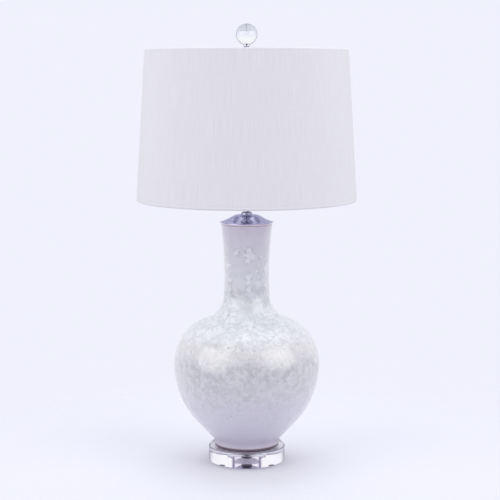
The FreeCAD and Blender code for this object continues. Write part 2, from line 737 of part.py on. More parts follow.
def make_saddle():
    body = new_body("harp_saddle")
    disc = ring(new_sketch(body, "hub", "XY_Plane"), "saddle_hub_dia")
    extrude(body, disc, "saddle_thk", "hub_plate")
    half, reach = "saddle_width / 2", "saddle_span / 2"
    strip = draw(new_sketch(body, "strip", "XY_Plane"), [
        ("-" + reach, "-" + half, half, "left"),
        (reach, "-" + half),
        (reach + " + " + half, "0", half, "left"),
        (reach, half, half, "left"),
        ("-" + reach, half),
        ("-" + reach + " - " + half, "0", half, "left"),
    ])
    extrude(body, strip, "saddle_thk", "arms")
    spot = ring(new_sketch(body, "post", "XY_Plane"), "harp_wire_dia", reach)
    post = extrude(body, spot, "saddle_thk + saddle_post_height", "post_up")
    repeat_round(body, post, "2", "posts")
    hole = ring(new_sketch(body, "hole", "XY_Plane"), "rod_hole_dia")
    extrude(body, hole, "saddle_thk", "rod_hole", cut=True)
    return keep(body, ("", "", "saddle_z"))


def make_sleeve(label, side):
    body = new_body(label)
    revolve(body, tube_corners("sleeve_dia / 2", "harp_wire_dia / 2 + sleeve_gap", "sleeve_length"))
    return keep(body, (side + "harp_leg_r", "", "saddle_top_z"))


def make_harp():
    body = new_body("harp_wire")
    half = "harp_width / 2"
    way = draw(new_sketch(body, "wire_way"), [
        ("-harp_leg_r", "0"),
        ("-harp_leg_r", "harp_straight"),
        ("-harp_sway_x", "harp_sway_z", "harp_sway_r", "left"),
        ("-" + half, "harp_bulge_rise", "harp_sway_r", "right"),
        ("-harp_turn_x", "harp_turn_z", "harp_crown_r", "right"),
        ("-harp_flat_r", "harp_crest", "harp_shoulder_r", "right"),
        ("harp_flat_r", "harp_crest"),
        ("harp_turn_x", "harp_turn_z", "harp_shoulder_r", "right"),
        (half, "harp_bulge_rise", "harp_crown_r", "right"),
        ("harp_sway_x", "harp_sway_z", "harp_sway_r", "right"),
        ("harp_leg_r", "harp_straight", "harp_sway_r", "left"),
        ("harp_leg_r", "0"),
    ], closed=False)
    section = ring(new_sketch(body, "section", "XY_Plane"), "harp_wire_dia", "-harp_leg_r")
    wire = feature(body, "AdditivePipe", "wire", section)
    wire.Spine = way
    revolve(body, [("0", "harp_plate_low"), ("harp_flat_dia / 2", "harp_plate_low"),
                   ("harp_flat_dia / 2", "harp_plate_top"), ("0", "harp_plate_top")], "plate")
    # the stud's hole, and the room under the plate where its rivet head turns
    under, rivet = "harp_crest - harp_wire_dia", "stud_rivet_dia / 2 + rivet_gap"
    hole, above = "stud_dia / 2 + swivel_gap", "harp_plate_top + harp_wire_dia"
    revolve(body, [("0", under), (rivet, under), (rivet, "harp_plate_low"), (hole, "harp_plate_low"),
                   (hole, above), ("0", above)], "stud_hole", cut=True)
    return keep(body, ("", "", "harp_z"))


def make_stud():
    body = new_body("harp_stud")
    stem, flange, rivet = "stud_dia / 2", "stud_flange_dia / 2", "stud_rivet_dia / 2"
    head = "-harp_flat_thk - swivel_gap"
    low, top = head + " - stud_rivet_thk", "stud_flange_thk + stud_length"
    revolve(body, [("0", low), (rivet, low), (rivet, head), (stem, head), (stem, "0"), (flange, "0"),
                   (flange, "stud_flange_thk"), (stem, "stud_flange_thk"), (stem, top), ("0", top)])
    return keep(body, ("", "", "harp_top_z"))


# socket


def make_socket_cap():
    body = new_body("socket_cap")
    bore, hub, rim = "rod_dia / 2 + thread_gap", "socket_hub_dia / 2", "socket_cap_dia / 2"
    revolve(body, [
        (bore, "0"),
        (hub, "0"),
        (hub, "socket_bowl_start"),
        (rim, "socket_bowl_rise", "bowl_r", "left"),
        (rim, "socket_cap_height"),
        ("bowl_in_r", "socket_cap_height"),
        ("bowl_in_r", "socket_bowl_rise"),
        (hub, "bowl_in_z", "bowl_r - socket_sheet", "right"),
        (hub, "socket_hub_height"),
        (bore, "socket_hub_height"),
    ])
    tapped = ring(new_sketch(body, "tapped"), "set_screw_dia + 2 * thread_gap", "0", "set_screw_rise")
    extrude(body, tapped, "socket_hub_dia", "tapped_hole", cut=True, upward=False)
    return keep(body, ("", "", "saddle_top_z"))


def make_set_screw():
    # local +Z points to the back of the lamp
    body = new_body("socket_set_screw")
    stem, end = "set_screw_dia / 2", "set_screw_length"
    revolve(body, [("0", "0"), (stem, "0"), (stem, end), ("0", end)])
    half, wide = "set_screw_slot / 2", "set_screw_dia"
    slot = draw(new_sketch(body, "slot", "XY_Plane", "set_screw_length - set_screw_slot_depth"),
                [("-" + wide, "-" + half), (wide, "-" + half), (wide, half), ("-" + wide, half)])
    extrude(body, slot, "set_screw_length", "driver_slot", cut=True)
    aim(body, "-90")
    return keep(body, ("", "rod_dia / 2 + thread_gap", "saddle_top_z + set_screw_rise"))


def side_hole(body, diameter, rise, reach, name):
    """A round hole through the front of a tube, where the switch shaft passes."""
    spot = ring(new_sketch(body, name + "_spot"), diameter, "0", rise)
    return extrude(body, spot, reach, name, cut=True, upward=True)


def make_shell():
    body = new_body("socket_shell")
    revolve(body, tube_corners("shell_out_r", "shell_out_r - shell_sheet", "shell_height"))
    side_hole(body, "shaft_dia + 2 * shaft_hole_gap", "block_mid_rise - shell_rise", "shell_out_r + 1", "switch_hole")
    return keep(body, ("", "", "saddle_top_z + shell_rise"))


def make_liner():
    body = new_body("socket_liner")
    revolve(body, tube_corners("liner_out_r", "liner_out_r - liner_thk", "liner_height"))
    side_hole(body, "shaft_dia + 2 * shaft_hole_gap", "block_mid_rise - shell_rise", "shell_out_r + 1", "switch_hole")
    return keep(body, ("", "", "saddle_top_z + shell_rise"))


def make_core():
    body = new_body("socket_core")
    block, flange_top = "core_block_dia / 2", "core_flange_thk"
    block_top = "core_flange_thk + core_block_height"
    top = block_top + " + core_top_thk"
    revolve(body, [("0", "0"), ("core_out_r", "0"), ("core_out_r", flange_top), (block, flange_top),
                   (block, block_top), ("core_top_dia / 2", block_top), ("core_top_dia / 2", top), ("0", top)])
    middle = "core_flange_thk + core_block_height / 2"
    bore = draw(new_sketch(body, "switch_bore_outline", "YZ_Plane"), [
        ("-core_block_dia", middle),
        ("-core_block_dia", middle + " + shaft_dia / 2 + shaft_gap"),
        ("-shaft_start_r + shaft_end_gap", middle + " + shaft_dia / 2 + shaft_gap"),
        ("-shaft_start_r + shaft_end_gap", middle),
    ])
    cut = feature(body, "Groove", "switch_bore", bore)
    cut.ReferenceAxis = (bore, ["Edge4"])
    cut.Angle = 360
    spot = ring(new_sketch(body, "terminal_spot", "YZ_Plane"), "terminal_shank_dia + 2 * thread_gap", "0", middle)
    extrude(body, spot, "core_block_dia", "terminal_holes", cut=True, both=True)
    return keep(body, ("", "", "saddle_top_z + core_rise"))


def make_terminals():
    body = new_body("terminal_screws")
    seat, shank = "core_block_dia / 2", "terminal_shank_dia / 2"
    head, inner = "terminal_head_dia / 2", "core_block_dia / 2 - terminal_shank_length"
    outer = seat + " + terminal_head_thk"
    screw = revolve(body, [(inner, "0"), (outer, "0"), (outer, head), (seat, head), (seat, shank),
                           (inner, shank)], "screw", axis="H_Axis")
    half = "terminal_slot / 2"
    cut = draw(new_sketch(body, "slot", "YZ_Plane", outer + " - terminal_slot"), [
        ("-terminal_head_dia", "-" + half),
        ("terminal_head_dia", "-" + half),
        ("terminal_head_dia", half),
        ("-terminal_head_dia", half),
    ])
    slot = extrude(body, cut, "terminal_slot", "driver_slot", cut=True)
    pair = repeat_round(body, screw, "2", "pair")
    pair.Originals = [screw, slot]
    return keep(body, ("", "", "block_mid_z"))


def thread_ring(body, wall, into, first, count, pitch="thread_pitch"):
    """Ring grooves along a wall that stand for a thread: into is + for outwards, - for inwards."""
    back = {"+": "-", "-": "+"}[into]
    outline = draw(new_sketch(body, "groove_outline"), [
        (wall + back + " thread_depth", first + " - " + pitch + " / 2"),
        (wall + into + " thread_depth", first),
        (wall + back + " thread_depth", first + " + " + pitch + " / 2"),
    ])
    groove = feature(body, "Groove", "groove", outline)
    groove.ReferenceAxis = (outline, ["V_Axis"])
    groove.Angle = 360
    row = body.newObject("PartDesign::LinearPattern", "grooves")
    row.Originals = [groove]
    axis = [item for item in body.Origin.OriginFeatures if item.Role == "Z_Axis"][0]
    row.Direction = (axis, [""])
    row.setExpression("Length", bound("(%s - 1) * %s" % (count, pitch)))
    row.setExpression("Occurrences", bound(count))
    body.Tip = row
    return row


def make_screw_shell():
    body = new_body("screw_shell")
    hole, floor = "screw_shell_hole / 2", "screw_shell_sheet"
    revolve(body, [(hole, "0"), ("screw_out_r", "0"), ("screw_out_r", "screw_shell_height"),
                   ("screw_in_r", "screw_shell_height"), ("screw_in_r", floor), (hole, floor)])
    thread_ring(body, "screw_in_r", "+", "screw_shell_height - 1.5 * thread_pitch"
                " - (screw_shell_thread_count - 1) * thread_pitch", "screw_shell_thread_count")
    return keep(body, ("", "", "saddle_top_z + screw_shell_rise"))


def make_contact():
    body = new_body("centre_contact")
    foot, pad = "contact_dia / 2", "contact_pad_dia / 2"
    revolve(body, [("0", "0"), (foot, "0"), (foot, "contact_thk"), (pad, "contact_thk"),
                   (pad, "contact_height"), ("0", "contact_height")])
    return keep(body, ("", "", "saddle_top_z + screw_shell_rise"))


def make_shaft():
    # local +Z points to the front of the lamp
    body = new_body("switch_shaft")
    stem, end = "shaft_dia / 2", "knob_start_r + knob_grip - shaft_start_r"
    revolve(body, [("0", "0"), (stem, "0"), (stem, end), ("0", end)])
    aim(body, "90")
    return keep(body, ("", "-shaft_start_r", "block_mid_z"))


def make_knob():
    body = new_body("switch_knob")
    rim, bore, edge = "knob_dia / 2", "shaft_dia / 2 + knob_gap", "knob_edge_r"
    revolve(body, [
        (bore, "0"),
        (rim, "0"),
        (rim, "knob_length - " + edge),
        (rim + " - " + edge, "knob_length", edge, "left"),
        ("0", "knob_length"),
        ("0", "knob_grip + knob_gap"),
        (bore, "knob_grip + knob_gap"),
    ])
    spot = ring(new_sketch(body, "flute_spot", "XY_Plane"), "knob_flute_dia", rim)
    flute = extrude(body, spot, "knob_length", "flute", cut=True)
    repeat_round(body, flute, "knob_flute_count", "flutes")
    aim(body, "90")
    return keep(body, ("", "-knob_start_r", "block_mid_z"))


# bulb


def make_bulb_contact():
    body = new_body("bulb_contact")
    rim = "bulb_contact_dia / 2"
    revolve(body, [("0", "0"), (rim, "0"), (rim, "bulb_contact_thk"), ("0", "bulb_contact_thk")])
    return keep(body, ("", "", "bulb_z"))


def make_insulator():
    body = new_body("bulb_insulator")
    low, high = "bulb_contact_thk", "bulb_insulator_height"
    wide = "bulb_cap_dia / 2 - thread_depth"
    revolve(body, [("0", low), ("bulb_insulator_dia / 2", low), (wide, high), ("0", high)])
    return keep(body, ("", "", "bulb_z"))


def make_bulb_cap():
    body = new_body("bulb_cap")
    revolve(body, tube_corners("bulb_cap_dia / 2", "bulb_cap_dia / 2 - bulb_cap_sheet", "bulb_cap_top",
                               "bulb_insulator_height"))
    thread_ring(body, "bulb_cap_dia / 2 ", "-", "bulb_insulator_height + thread_pitch", "bulb_thread_count")
    return keep(body, ("", "", "bulb_z"))


def make_bulb_glass():
    body = new_body("bulb_glass")
    rim, thk = "bulb_cap_dia / 2", "bulb_glass_thk"
    revolve(body, [
        (rim, "bulb_cap_top"),
        ("glass_join_r", "glass_join_z", "glass_neck_r", "right"),
        ("globe_r", "globe_z", "globe_r", "left"),
        ("0", "bulb_length", "globe_r", "left"),
        ("0", "bulb_length - " + thk),
        ("globe_r - " + thk, "globe_z", "globe_r - " + thk, "right"),
        ("glass_in_join_r", "glass_in_join_z", "globe_r - " + thk, "right"),
        (rim + " - " + thk, "bulb_cap_top", "glass_neck_r + " + thk, "left"),
    ])
    return keep(body, ("", "", "bulb_z"))


# shade


def make_spider():
    body = new_body("shade_spider")
    hub = ring(new_sketch(body, "hub", "XY_Plane"), "spider_hub_dia")
    ring(hub, "stud_dia + 2 * hub_gap")
    extrude(body, hub, "spider_hub_thk", "hub_plate")
    way = draw(new_sketch(body, "arm_way"), [
        ("arm_start_r", "arm_mid_z"),
        ("arm_end_r - spider_bend_r", "arm_mid_z"),
        ("arm_end_r", "arm_mid_z + spider_bend_r", "spider_bend_r", "left"),
        ("arm_end_r", "arm_top_z"),
    ], closed=False)
    section = ring(new_sketch(body, "arm_section", "YZ_Plane", "arm_start_r"), "spider_arm_dia", "0", "arm_mid_z")
    arm = feature(body, "AdditivePipe", "arm", section)
    arm.Spine = way
    repeat_round(body, arm, "spider_arm_count", "arms")
    turn_back(body)
    return keep(body, ("", "", "hub_z"))


def turn_back(part):
    """A quarter turn, so that the first arm of the spider points to the back."""
    part.Placement = FreeCAD.Placement(FreeCAD.Vector(), FreeCAD.Rotation(FreeCAD.Vector(0, 0, 1), 90))


def make_wire_ring(label, radius, height):
    body = new_body(label)
    section = ring(new_sketch(body, "section"), "shade_wire_dia", radius, height)
    made = feature(body, "Revolution", "hoop", section)
    made.ReferenceAxis = (section, ["V_Axis"])
    made.Angle = 360
    return keep(body, ("", "", "shade_z"))


def wall_point(end, out, up="0"):
    """A point beside one of the shade's rings: out square to the wall, and up along it."""
    return (
        "ring_%s_r + (%s) * cos(lean) - (%s) * sin(lean)" % (end, out, up),
        "ring_%s_z + (%s) * sin(lean) + (%s) * cos(lean)" % (end, out, up),
    )


def make_backing():
    body = new_body("shade_liner")
    revolve(body, [wall_point("low", "wrap_r"), wall_point("low", "backing_out_r"),
                   wall_point("top", "backing_out_r"), wall_point("top", "wrap_r")])
    return keep(body, ("", "", "shade_z"))


def make_fabric():
    # the cloth covers the backing, rolls round both rings and is tucked in behind them
    body = new_body("shade_fabric")
    out, back = ("hem_r", "left"), ("hem_in_r", "right")
    revolve(body, [
        wall_point("low", "hem_r") + out,
        wall_point("top", "hem_r"),
        wall_point("top", "0", "hem_r") + out,
        wall_point("top", "-hem_r") + out,
        wall_point("top", "-hem_r", "-hem_tuck"),
        wall_point("top", "-hem_in_r", "-hem_tuck"),
        wall_point("top", "-hem_in_r"),
        wall_point("top", "0", "hem_in_r") + back,
        wall_point("top", "hem_in_r") + back,
        wall_point("low", "hem_in_r"),
        wall_point("low", "0", "-hem_in_r") + back,
        wall_point("low", "-hem_in_r") + back,
        wall_point("low", "-hem_in_r", "hem_tuck"),
        wall_point("low", "-hem_r", "hem_tuck"),
        wall_point("low", "-hem_r"),
        wall_point("low", "0", "-hem_r") + out,
    ])
    # slits in the top hem, where the spider's arms reach the ring
    half, foot = "(spider_arm_dia / 2 + slit_gap)", "ring_top_z - hem_tuck - hem_r"
    near, far = "ring_top_r - hem_r - hem_tuck", "ring_top_r - wrap_r / 2"
    slit = draw(new_sketch(body, "slit", "XY_Plane", foot), [
        (near, "-" + half), (far, "-" + half), (far, half), (near, half)])
    cut = extrude(body, slit, "hem_tuck + 2 * hem_r + slit_gap", "arm_slit", cut=True)
    repeat_round(body, cut, "spider_arm_count", "arm_slits")
    turn_back(body)
    return keep(body, ("", "", "shade_z"))


# finial


def make_finial_base():
    body = new_body("finial_base")
    bore, cup, foot = "stud_dia / 2 + thread_gap", "finial_cup_dia / 2", "finial_foot_dia / 2"
    revolve(body, [
        (bore, "0"),
        (foot, "0"),
        (foot, "finial_foot_thk"),
        ("finial_groove_dia / 2", "finial_groove_rise"),
        ("finial_body_dia / 2", "finial_body_rise"),
        ("finial_neck_dia / 2", "finial_neck_rise"),
        (cup, "cup_rim_z - finial_cup_edge"),
        (cup, "cup_rim_z"),
        ("post_hole_r", "seat_hole_z", "seat_r", "right"),
        ("post_hole_r", "post_low_z"),
        ("0", "post_low_z"),
        ("0", "finial_bore_depth"),
        (bore, "finial_bore_depth"),
    ])
    return keep(body, ("", "", "hub_top_z"))


def make_post():
    body = new_body("finial_post")
    stem, top = "finial_post_dia / 2", "finial_post_below + finial_post_above"
    revolve(body, [("0", "0"), (stem, "0"), (stem, top), ("0", top)])
    return keep(body, ("", "", "hub_top_z + post_low_z"))


def make_ball():
    # local 0 is the ball's centre
    body = new_body("finial_ball")
    top = "post_top_z + post_gap - ball_z"
    revolve(body, [
        ("post_hole_r", "-sqrt(ball_r ^ 2 - post_hole_r ^ 2)"),
        ("ball_r", "0", "ball_r", "left"),
        ("0", "ball_r", "ball_r", "left"),
        ("0", top),
        ("post_hole_r", top),
    ])
    return keep(body, ("", "", "hub_top_z + ball_z"))


make_bumpers()
make_base()
make_washer()
make_lock_washer()
make_base_nut()
make_rod()
make_gasket()
make_vase()
make_bushing()
make_cap()
make_collar()
make_neck_tube()
make_saddle()
make_sleeve("harp_sleeve_left", "-")
make_sleeve("harp_sleeve_right", "")
make_harp()
make_stud()
make_socket_cap()
make_set_screw()
make_shell()
make_liner()
make_core()
make_terminals()
make_screw_shell()
make_contact()
make_shaft()
make_knob()
make_bulb_contact()
make_insulator()
make_bulb_cap()
make_bulb_glass()
make_spider()
make_wire_ring("shade_top_ring", "ring_top_r", "ring_top_z")
make_wire_ring("shade_bottom_ring", "ring_low_r", "ring_low_z")
make_backing()
make_fabric()
make_finial_base()
make_post()
make_ball()
doc.recompute()

for item in doc.Objects:
    if "Invalid" in item.State or "Error" in item.State:
        raise RuntimeError("%s did not rebuild: %s" % (item.Label, item.State))
for part in PARTS:
    if part.Shape.isNull() or not part.Shape.isValid() or not part.Shape.Solids:
        raise RuntimeError("%s has no valid solid" % part.Label)

os.makedirs("parts", exist_ok=True)
for part in PARTS:
    part.Shape.exportStep("parts/%s.step" % part.Label)
    box = part.Shape.BoundBox
    print("%-18s solids %d  volume %10.1f  z %7.2f to %7.2f" % (
        part.Label, len(part.Shape.Solids), part.Shape.Volume, box.ZMin, box.ZMax))
print(len(PARTS), "sub-parts,", len(SIZES), "sizes")
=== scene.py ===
# %% [markdown]
# # A vase table lamp
#
# The lamp is a porcelain bottle vase with a crystalline glaze, bolted to a thick clear disc.
# A nickel cap closes the vase, and a socket, a harp and a cloth shade stand on it, held by a
# clear ball. The solid model already has every piece in its place, in metres, so this script
# only dresses it: better surfaces for the pieces whose shape is right, and new meshes where
# cloth or small repeated parts need them.

# %% The frame that everything is built on
import math

import bmesh
import bpy
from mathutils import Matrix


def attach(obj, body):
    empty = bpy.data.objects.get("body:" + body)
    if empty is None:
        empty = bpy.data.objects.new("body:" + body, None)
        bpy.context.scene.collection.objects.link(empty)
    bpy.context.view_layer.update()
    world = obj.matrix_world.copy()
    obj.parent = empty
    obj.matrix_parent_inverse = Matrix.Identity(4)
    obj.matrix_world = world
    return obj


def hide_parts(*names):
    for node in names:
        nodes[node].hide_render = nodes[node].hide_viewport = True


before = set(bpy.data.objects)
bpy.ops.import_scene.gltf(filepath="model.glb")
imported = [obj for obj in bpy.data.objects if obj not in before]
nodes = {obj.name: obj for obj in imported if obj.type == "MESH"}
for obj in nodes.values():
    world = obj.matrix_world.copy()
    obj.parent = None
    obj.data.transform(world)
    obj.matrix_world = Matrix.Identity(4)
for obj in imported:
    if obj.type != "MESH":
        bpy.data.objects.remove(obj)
bpy.context.view_layer.update()
MM = 0.001
print("pieces in the frame:", len(nodes))

# %% [markdown]
# ## The camera
#
# A product photograph is taken from well back with a long lens, so that the upright lines
# stay parallel. The tilt and the distance were worked out from the ellipses of the shade's
# rims and of the base. A camera that is only tilted, without any shift, gives the same
# picture, so that simple way was chosen.

# %% The camera: its place in metres, its tilt in degrees, its lens in millimetres
CAMERA_AT, LOOKS_DOWN = (0.0065, -2.778, 0.7862), 7.37
SENSOR, LENS = 36, 102
camera_data = bpy.data.cameras.new("camera")
camera_data.sensor_width, camera_data.lens = SENSOR, LENS
camera = bpy.data.objects.new("camera", camera_data)
camera.location = CAMERA_AT
camera.rotation_euler = (math.radians(90 - LOOKS_DOWN), 0, 0)
scene = bpy.context.scene
scene.collection.objects.link(camera)
scene.camera = camera
scene.view_settings.view_transform = "Standard"
print("camera looks down by", LOOKS_DOWN, "degrees, from", -CAMERA_AT[1], "m in front")

# %% [markdown]
# ## Small helpers for materials
#
# A material is a tree of nodes. Adding each one by hand takes many lines, so these helpers
# add a node and join it up: one for any node, then one for each kind that comes back often.
# Colours are written as a painter reads them from a screen, from 0 to 255, and turned into
# the linear values that the renderer works in.

# %% Helpers for colours and nodes
def screen(red, green, blue):
    """A colour read from a screen, as the linear colour that shaders use."""
    def linear(value):
        value = value / 255
        return value / 12.92 if value <= 0.04045 else ((value + 0.055) / 1.055) ** 2.4
    return (linear(red), linear(green), linear(blue), 1)


def feed(tree, node, ins):
    """Give each input of a node a number, or link it to another node's output."""
    for key, value in ins.items():
        if isinstance(value, bpy.types.NodeSocket):
            tree.links.new(value, node.inputs[key])
        else:
            node.inputs[key].default_value = value


def put(tree, kind, ins=None, **settings):
    """Add a node, set it up and feed its inputs."""
    node = tree.nodes.new(kind)
    for name, value in settings.items():
        setattr(node, name, value)
    feed(tree, node, ins or {})
    return node


print("white on the screen is", screen(255, 255, 255)[:3])


# %% Helpers for numbers
def sum_of(tree, operation, first, second=0.0, third=0.0, clamp=False):
    """One step of arithmetic on numbers or outputs."""
    ins = {0: first, 1: second, 2: third}
    return put(tree, "ShaderNodeMath", ins, operation=operation, use_clamp=clamp).outputs[0]


def product(tree, first, *others):
    """Numbers multiplied with each other."""
    for other in others:
        first = sum_of(tree, "MULTIPLY", first, other)
    return first


def scaled(tree, value, times, plus, clamp=False):
    """A number times another, plus a third."""
    return sum_of(tree, "MULTIPLY_ADD", value, times, plus, clamp)


def between(tree, share, first, second):
    """A number that goes from the first to the second as the share grows."""
    return put(tree, "ShaderNodeMix", {0: share, 2: first, 3: second}).outputs[0]


def step_of(tree, value, low, high, start=0.0, end=1.0):
    """A soft step from start to end, as the value goes from low to high."""
    ins = {0: value, 1: low, 2: high, 3: start, 4: end}
    return put(tree, "ShaderNodeMapRange", ins, interpolation_type="SMOOTHSTEP").outputs[0]


def noise_of(tree, vector, scale, detail=2.0, roughness=0.5):
    """Soft random patches from 0 to 1. A larger scale makes them smaller."""
    ins = {"Vector": vector, "Scale": scale, "Detail": detail, "Roughness": roughness}
    return put(tree, "ShaderNodeTexNoise", ins).outputs[0]


print("a number's helpers: sum, product, scaled, between, step and noise")


# %% Helpers for directions and colours
def vector_of(tree, operation, first, second=None, scale=None):
    """One step of vector arithmetic."""
    ins = {0: first}
    if second is not None:
        ins[1] = second
    if scale is not None:
        ins[3] = scale
    node = put(tree, "ShaderNodeVectorMath", ins, operation=operation)
    return node.outputs[1 if operation in ("DOT_PRODUCT", "LENGTH") else 0]


def split(tree, vector):
    """The three numbers of a vector."""
    return put(tree, "ShaderNodeSeparateXYZ", {0: vector}).outputs


def join(tree, *numbers):
    """A vector made of up to three numbers."""
    return put(tree, "ShaderNodeCombineXYZ", dict(enumerate(numbers))).outputs[0]


def blend_of(tree, share, first, second):
    """The second colour laid over the first, by its share."""
    ins = {0: share, 6: first, 7: second}
    return put(tree, "ShaderNodeMix", ins, data_type="RGBA").outputs[2]


def bump_of(tree, height, strength, distance):
    """A normal that makes small heights catch the light."""
    ins = {"Strength": strength, "Distance": distance, "Height": height}
    return put(tree, "ShaderNodeBump", ins).outputs[0]


print("a vector's helpers: vector, split and join; a surface's: blend and bump")


# %% Helpers for materials and groups
def new_finish(name):
    """A material with a Principled shader, and the object's own coordinates."""
    material = bpy.data.materials.new(name)
    material.use_nodes = True
    tree = material.node_tree
    tree.nodes.clear()
    shader = put(tree, "ShaderNodeBsdfPrincipled")
    put(tree, "ShaderNodeOutputMaterial", {"Surface": shader.outputs[0]})
    place = put(tree, "ShaderNodeTexCoord").outputs["Object"]
    return material, tree, shader, place


def new_group(name, inputs, outputs):
    """A shader group with named number outputs. Inputs are (label, kind, value or None)."""
    group = bpy.data.node_groups.new(name, "ShaderNodeTree")
    for label, kind, value in inputs:
        kind = "NodeSocket" + kind
        socket = group.interface.new_socket(label, in_out="INPUT", socket_type=kind)
        if value is not None:
            socket.default_value = value
    for label in outputs:
        group.interface.new_socket(label, in_out="OUTPUT", socket_type="NodeSocketFloat")
    given = group.nodes.new("NodeGroupInput").outputs
    result = group.nodes.new("NodeGroupOutput").inputs
    return group, given, result


def give(tree, result, **outs):
    """Link what a group worked out to its named outputs."""
    for label, value in outs.items():
        tree.links.new(value, result[label])


def use_group(tree, group, **ins):
    """Place a group in a material, with that material's own values."""
    return put(tree, "ShaderNodeGroup", ins, node_tree=group).outputs


print("a material's helpers: new_finish, new_group, give and use_group")

# %% [markdown]
# ## The backdrop and the floor
#
# The lamp stands on a pale sweep that has no visible edge. A curved backdrop could be
# modelled, but a floor that fades out into the world's own colour does the same from every
# side. The floor keeps the soft shadow next to the lamp.
#
# The world shows the camera that pale colour. Metal, glaze and clear pieces also pick up the
# darker room on the camera's side of the lamp, which gives them their contrast, and a clear
# piece shows a brighter sky above. All else gets a quieter fill light that is almost white.
# Light Path tells these rays apart, so one world does it all without more lamps. The world's
# Generated output is the way in which a ray leaves: y is above 0 away from the camera's side,
# and z is above 0 upwards.

# %% What the world shows to each kind of ray
PALE = screen(240, 241, 252)
GLOSS_DUSK = screen(156, 156, 184)
CLEAR_DUSK = screen(104, 98, 138)
CLEAR_SKY = screen(254, 255, 255)
world = bpy.data.worlds.new("studio")
scene.world = world
world.use_nodes = True
sky = world.node_tree
sky.nodes.clear()
path = put(sky, "ShaderNodeLightPath").outputs
way = split(sky, put(sky, "ShaderNodeTexCoord").outputs["Generated"])
camera_side = step_of(sky, way[1], -0.3, 0.45, 1.0, 0.0)
not_behind = step_of(sky, way[1], 0.1, 0.6, 1.0, 0.0)
above = step_of(sky, way[2], 0.0, 0.35)
sky_tone = PALE
for ray, where, tone in (("Is Glossy Ray", camera_side, GLOSS_DUSK),
                         ("Is Transmission Ray", above, CLEAR_SKY),
                         ("Is Transmission Ray", not_behind, CLEAR_DUSK)):
    sky_tone = blend_of(sky, product(sky, where, path[ray]), sky_tone, tone)
print("backdrop colour:", [round(part, 3) for part in PALE[:3]])

# %% The fill light, and the world's two parts put together
FILL_STRENGTH = 0.54
BACK_FILL, FRONT_FILL = (0.97, 0.97, 0.98, 1), (0.905, 0.885, 1.0, 1)
fill_tone = blend_of(sky, camera_side, BACK_FILL, FRONT_FILL)
fill = put(sky, "ShaderNodeBackground", {"Color": fill_tone, "Strength": FILL_STRENGTH})
backdrop = put(sky, "ShaderNodeBackground", {"Color": sky_tone})
shown = sum_of(sky, "MAXIMUM", path["Is Glossy Ray"], path["Is Transmission Ray"])
shown = sum_of(sky, "MAXIMUM", shown, path["Is Camera Ray"])
both = put(sky, "ShaderNodeMixShader", {0: shown, 1: fill.outputs[0], 2: backdrop.outputs[0]})
put(sky, "ShaderNodeOutputWorld", {"Surface": both.outputs[0]})
print("fill light:", FILL_STRENGTH)

# %% Soft boxes: two in front, a faint one at each side and one above, in metres and watts
BOX_DISTANCE, BOX_AIM = 2.6, (0, 0, 0.4)
CREAM, COOL = (0.98, 1.0, 0.915), (0.92, 0.95, 1.0)


def soft_box(name, azimuth, elevation, width, height, power, tint=(1, 1, 1), mirrored=False):
    """A rectangular light that faces the lamp. Azimuth 0 is at the camera's side."""
    turn, rise = math.radians(azimuth), math.radians(elevation)
    light = bpy.data.lights.new(name, "AREA")
    light.shape = "RECTANGLE"
    light.size, light.size_y, light.energy, light.color = width, height, power, tint
    box = bpy.data.objects.new(name, light)
    scene.collection.objects.link(box)
    box.location = (BOX_AIM[0] + BOX_DISTANCE * math.sin(turn) * math.cos(rise),
                    BOX_AIM[1] - BOX_DISTANCE * math.cos(turn) * math.cos(rise),
                    BOX_AIM[2] + BOX_DISTANCE * math.sin(rise))
    box.rotation_euler = (math.pi / 2 - rise, 0, turn)
    box.visible_glossy = box.visible_transmission = mirrored
    return box


# name, azimuth, elevation, width, height and power
soft_boxes = [soft_box("soft_box_left", -57, 17, 2.5, 2.1, 31, CREAM, mirrored=True),
              soft_box("soft_box_right", 56, 22, 2.4, 2.1, 31, CREAM, mirrored=True),
              soft_box("side_fill_left", -105, 12, 2.0, 2.2, 3.5),
              soft_box("side_fill_right", 105, 12, 2.0, 2.2, 3.5),
              soft_box("soft_box_top", 180, 74, 2.4, 2.0, 34, COOL)]
print("soft boxes:", [tuple(round(v, 2) for v in box.location) for box in soft_boxes])

# %% The floor's sheet
FLOOR_R, FLOOR_DROP, FLOOR_RINGS, FLOOR_SIDES = 3.0, 0.3 * MM, 6, 96


def disc_mesh(name, radius, rings, sides):
    """A flat round sheet that faces up."""
    mesh = bpy.data.meshes.new(name)
    made = bmesh.new()
    middle = made.verts.new((0, 0, 0))
    last = None
    for ring in range(1, rings + 1):
        r = radius * ring / rings
        row = [made.verts.new((r * math.cos(2 * math.pi * k / sides),
                               r * math.sin(2 * math.pi * k / sides), 0)) for k in range(sides)]
        for k in range(sides):
            nxt = (k + 1) % sides
            inner = (middle,) if last is None else (last[nxt], last[k])
            made.faces.new((row[k], row[nxt]) + inner)
        last = row
    made.to_mesh(mesh)
    made.free()
    return mesh


floor = bpy.data.objects.new("floor", disc_mesh("floor", FLOOR_R, FLOOR_RINGS, FLOOR_SIDES))
floor.location = (0, 0, -FLOOR_DROP)
scene.collection.objects.link(floor)
print("floor radius:", FLOOR_R)

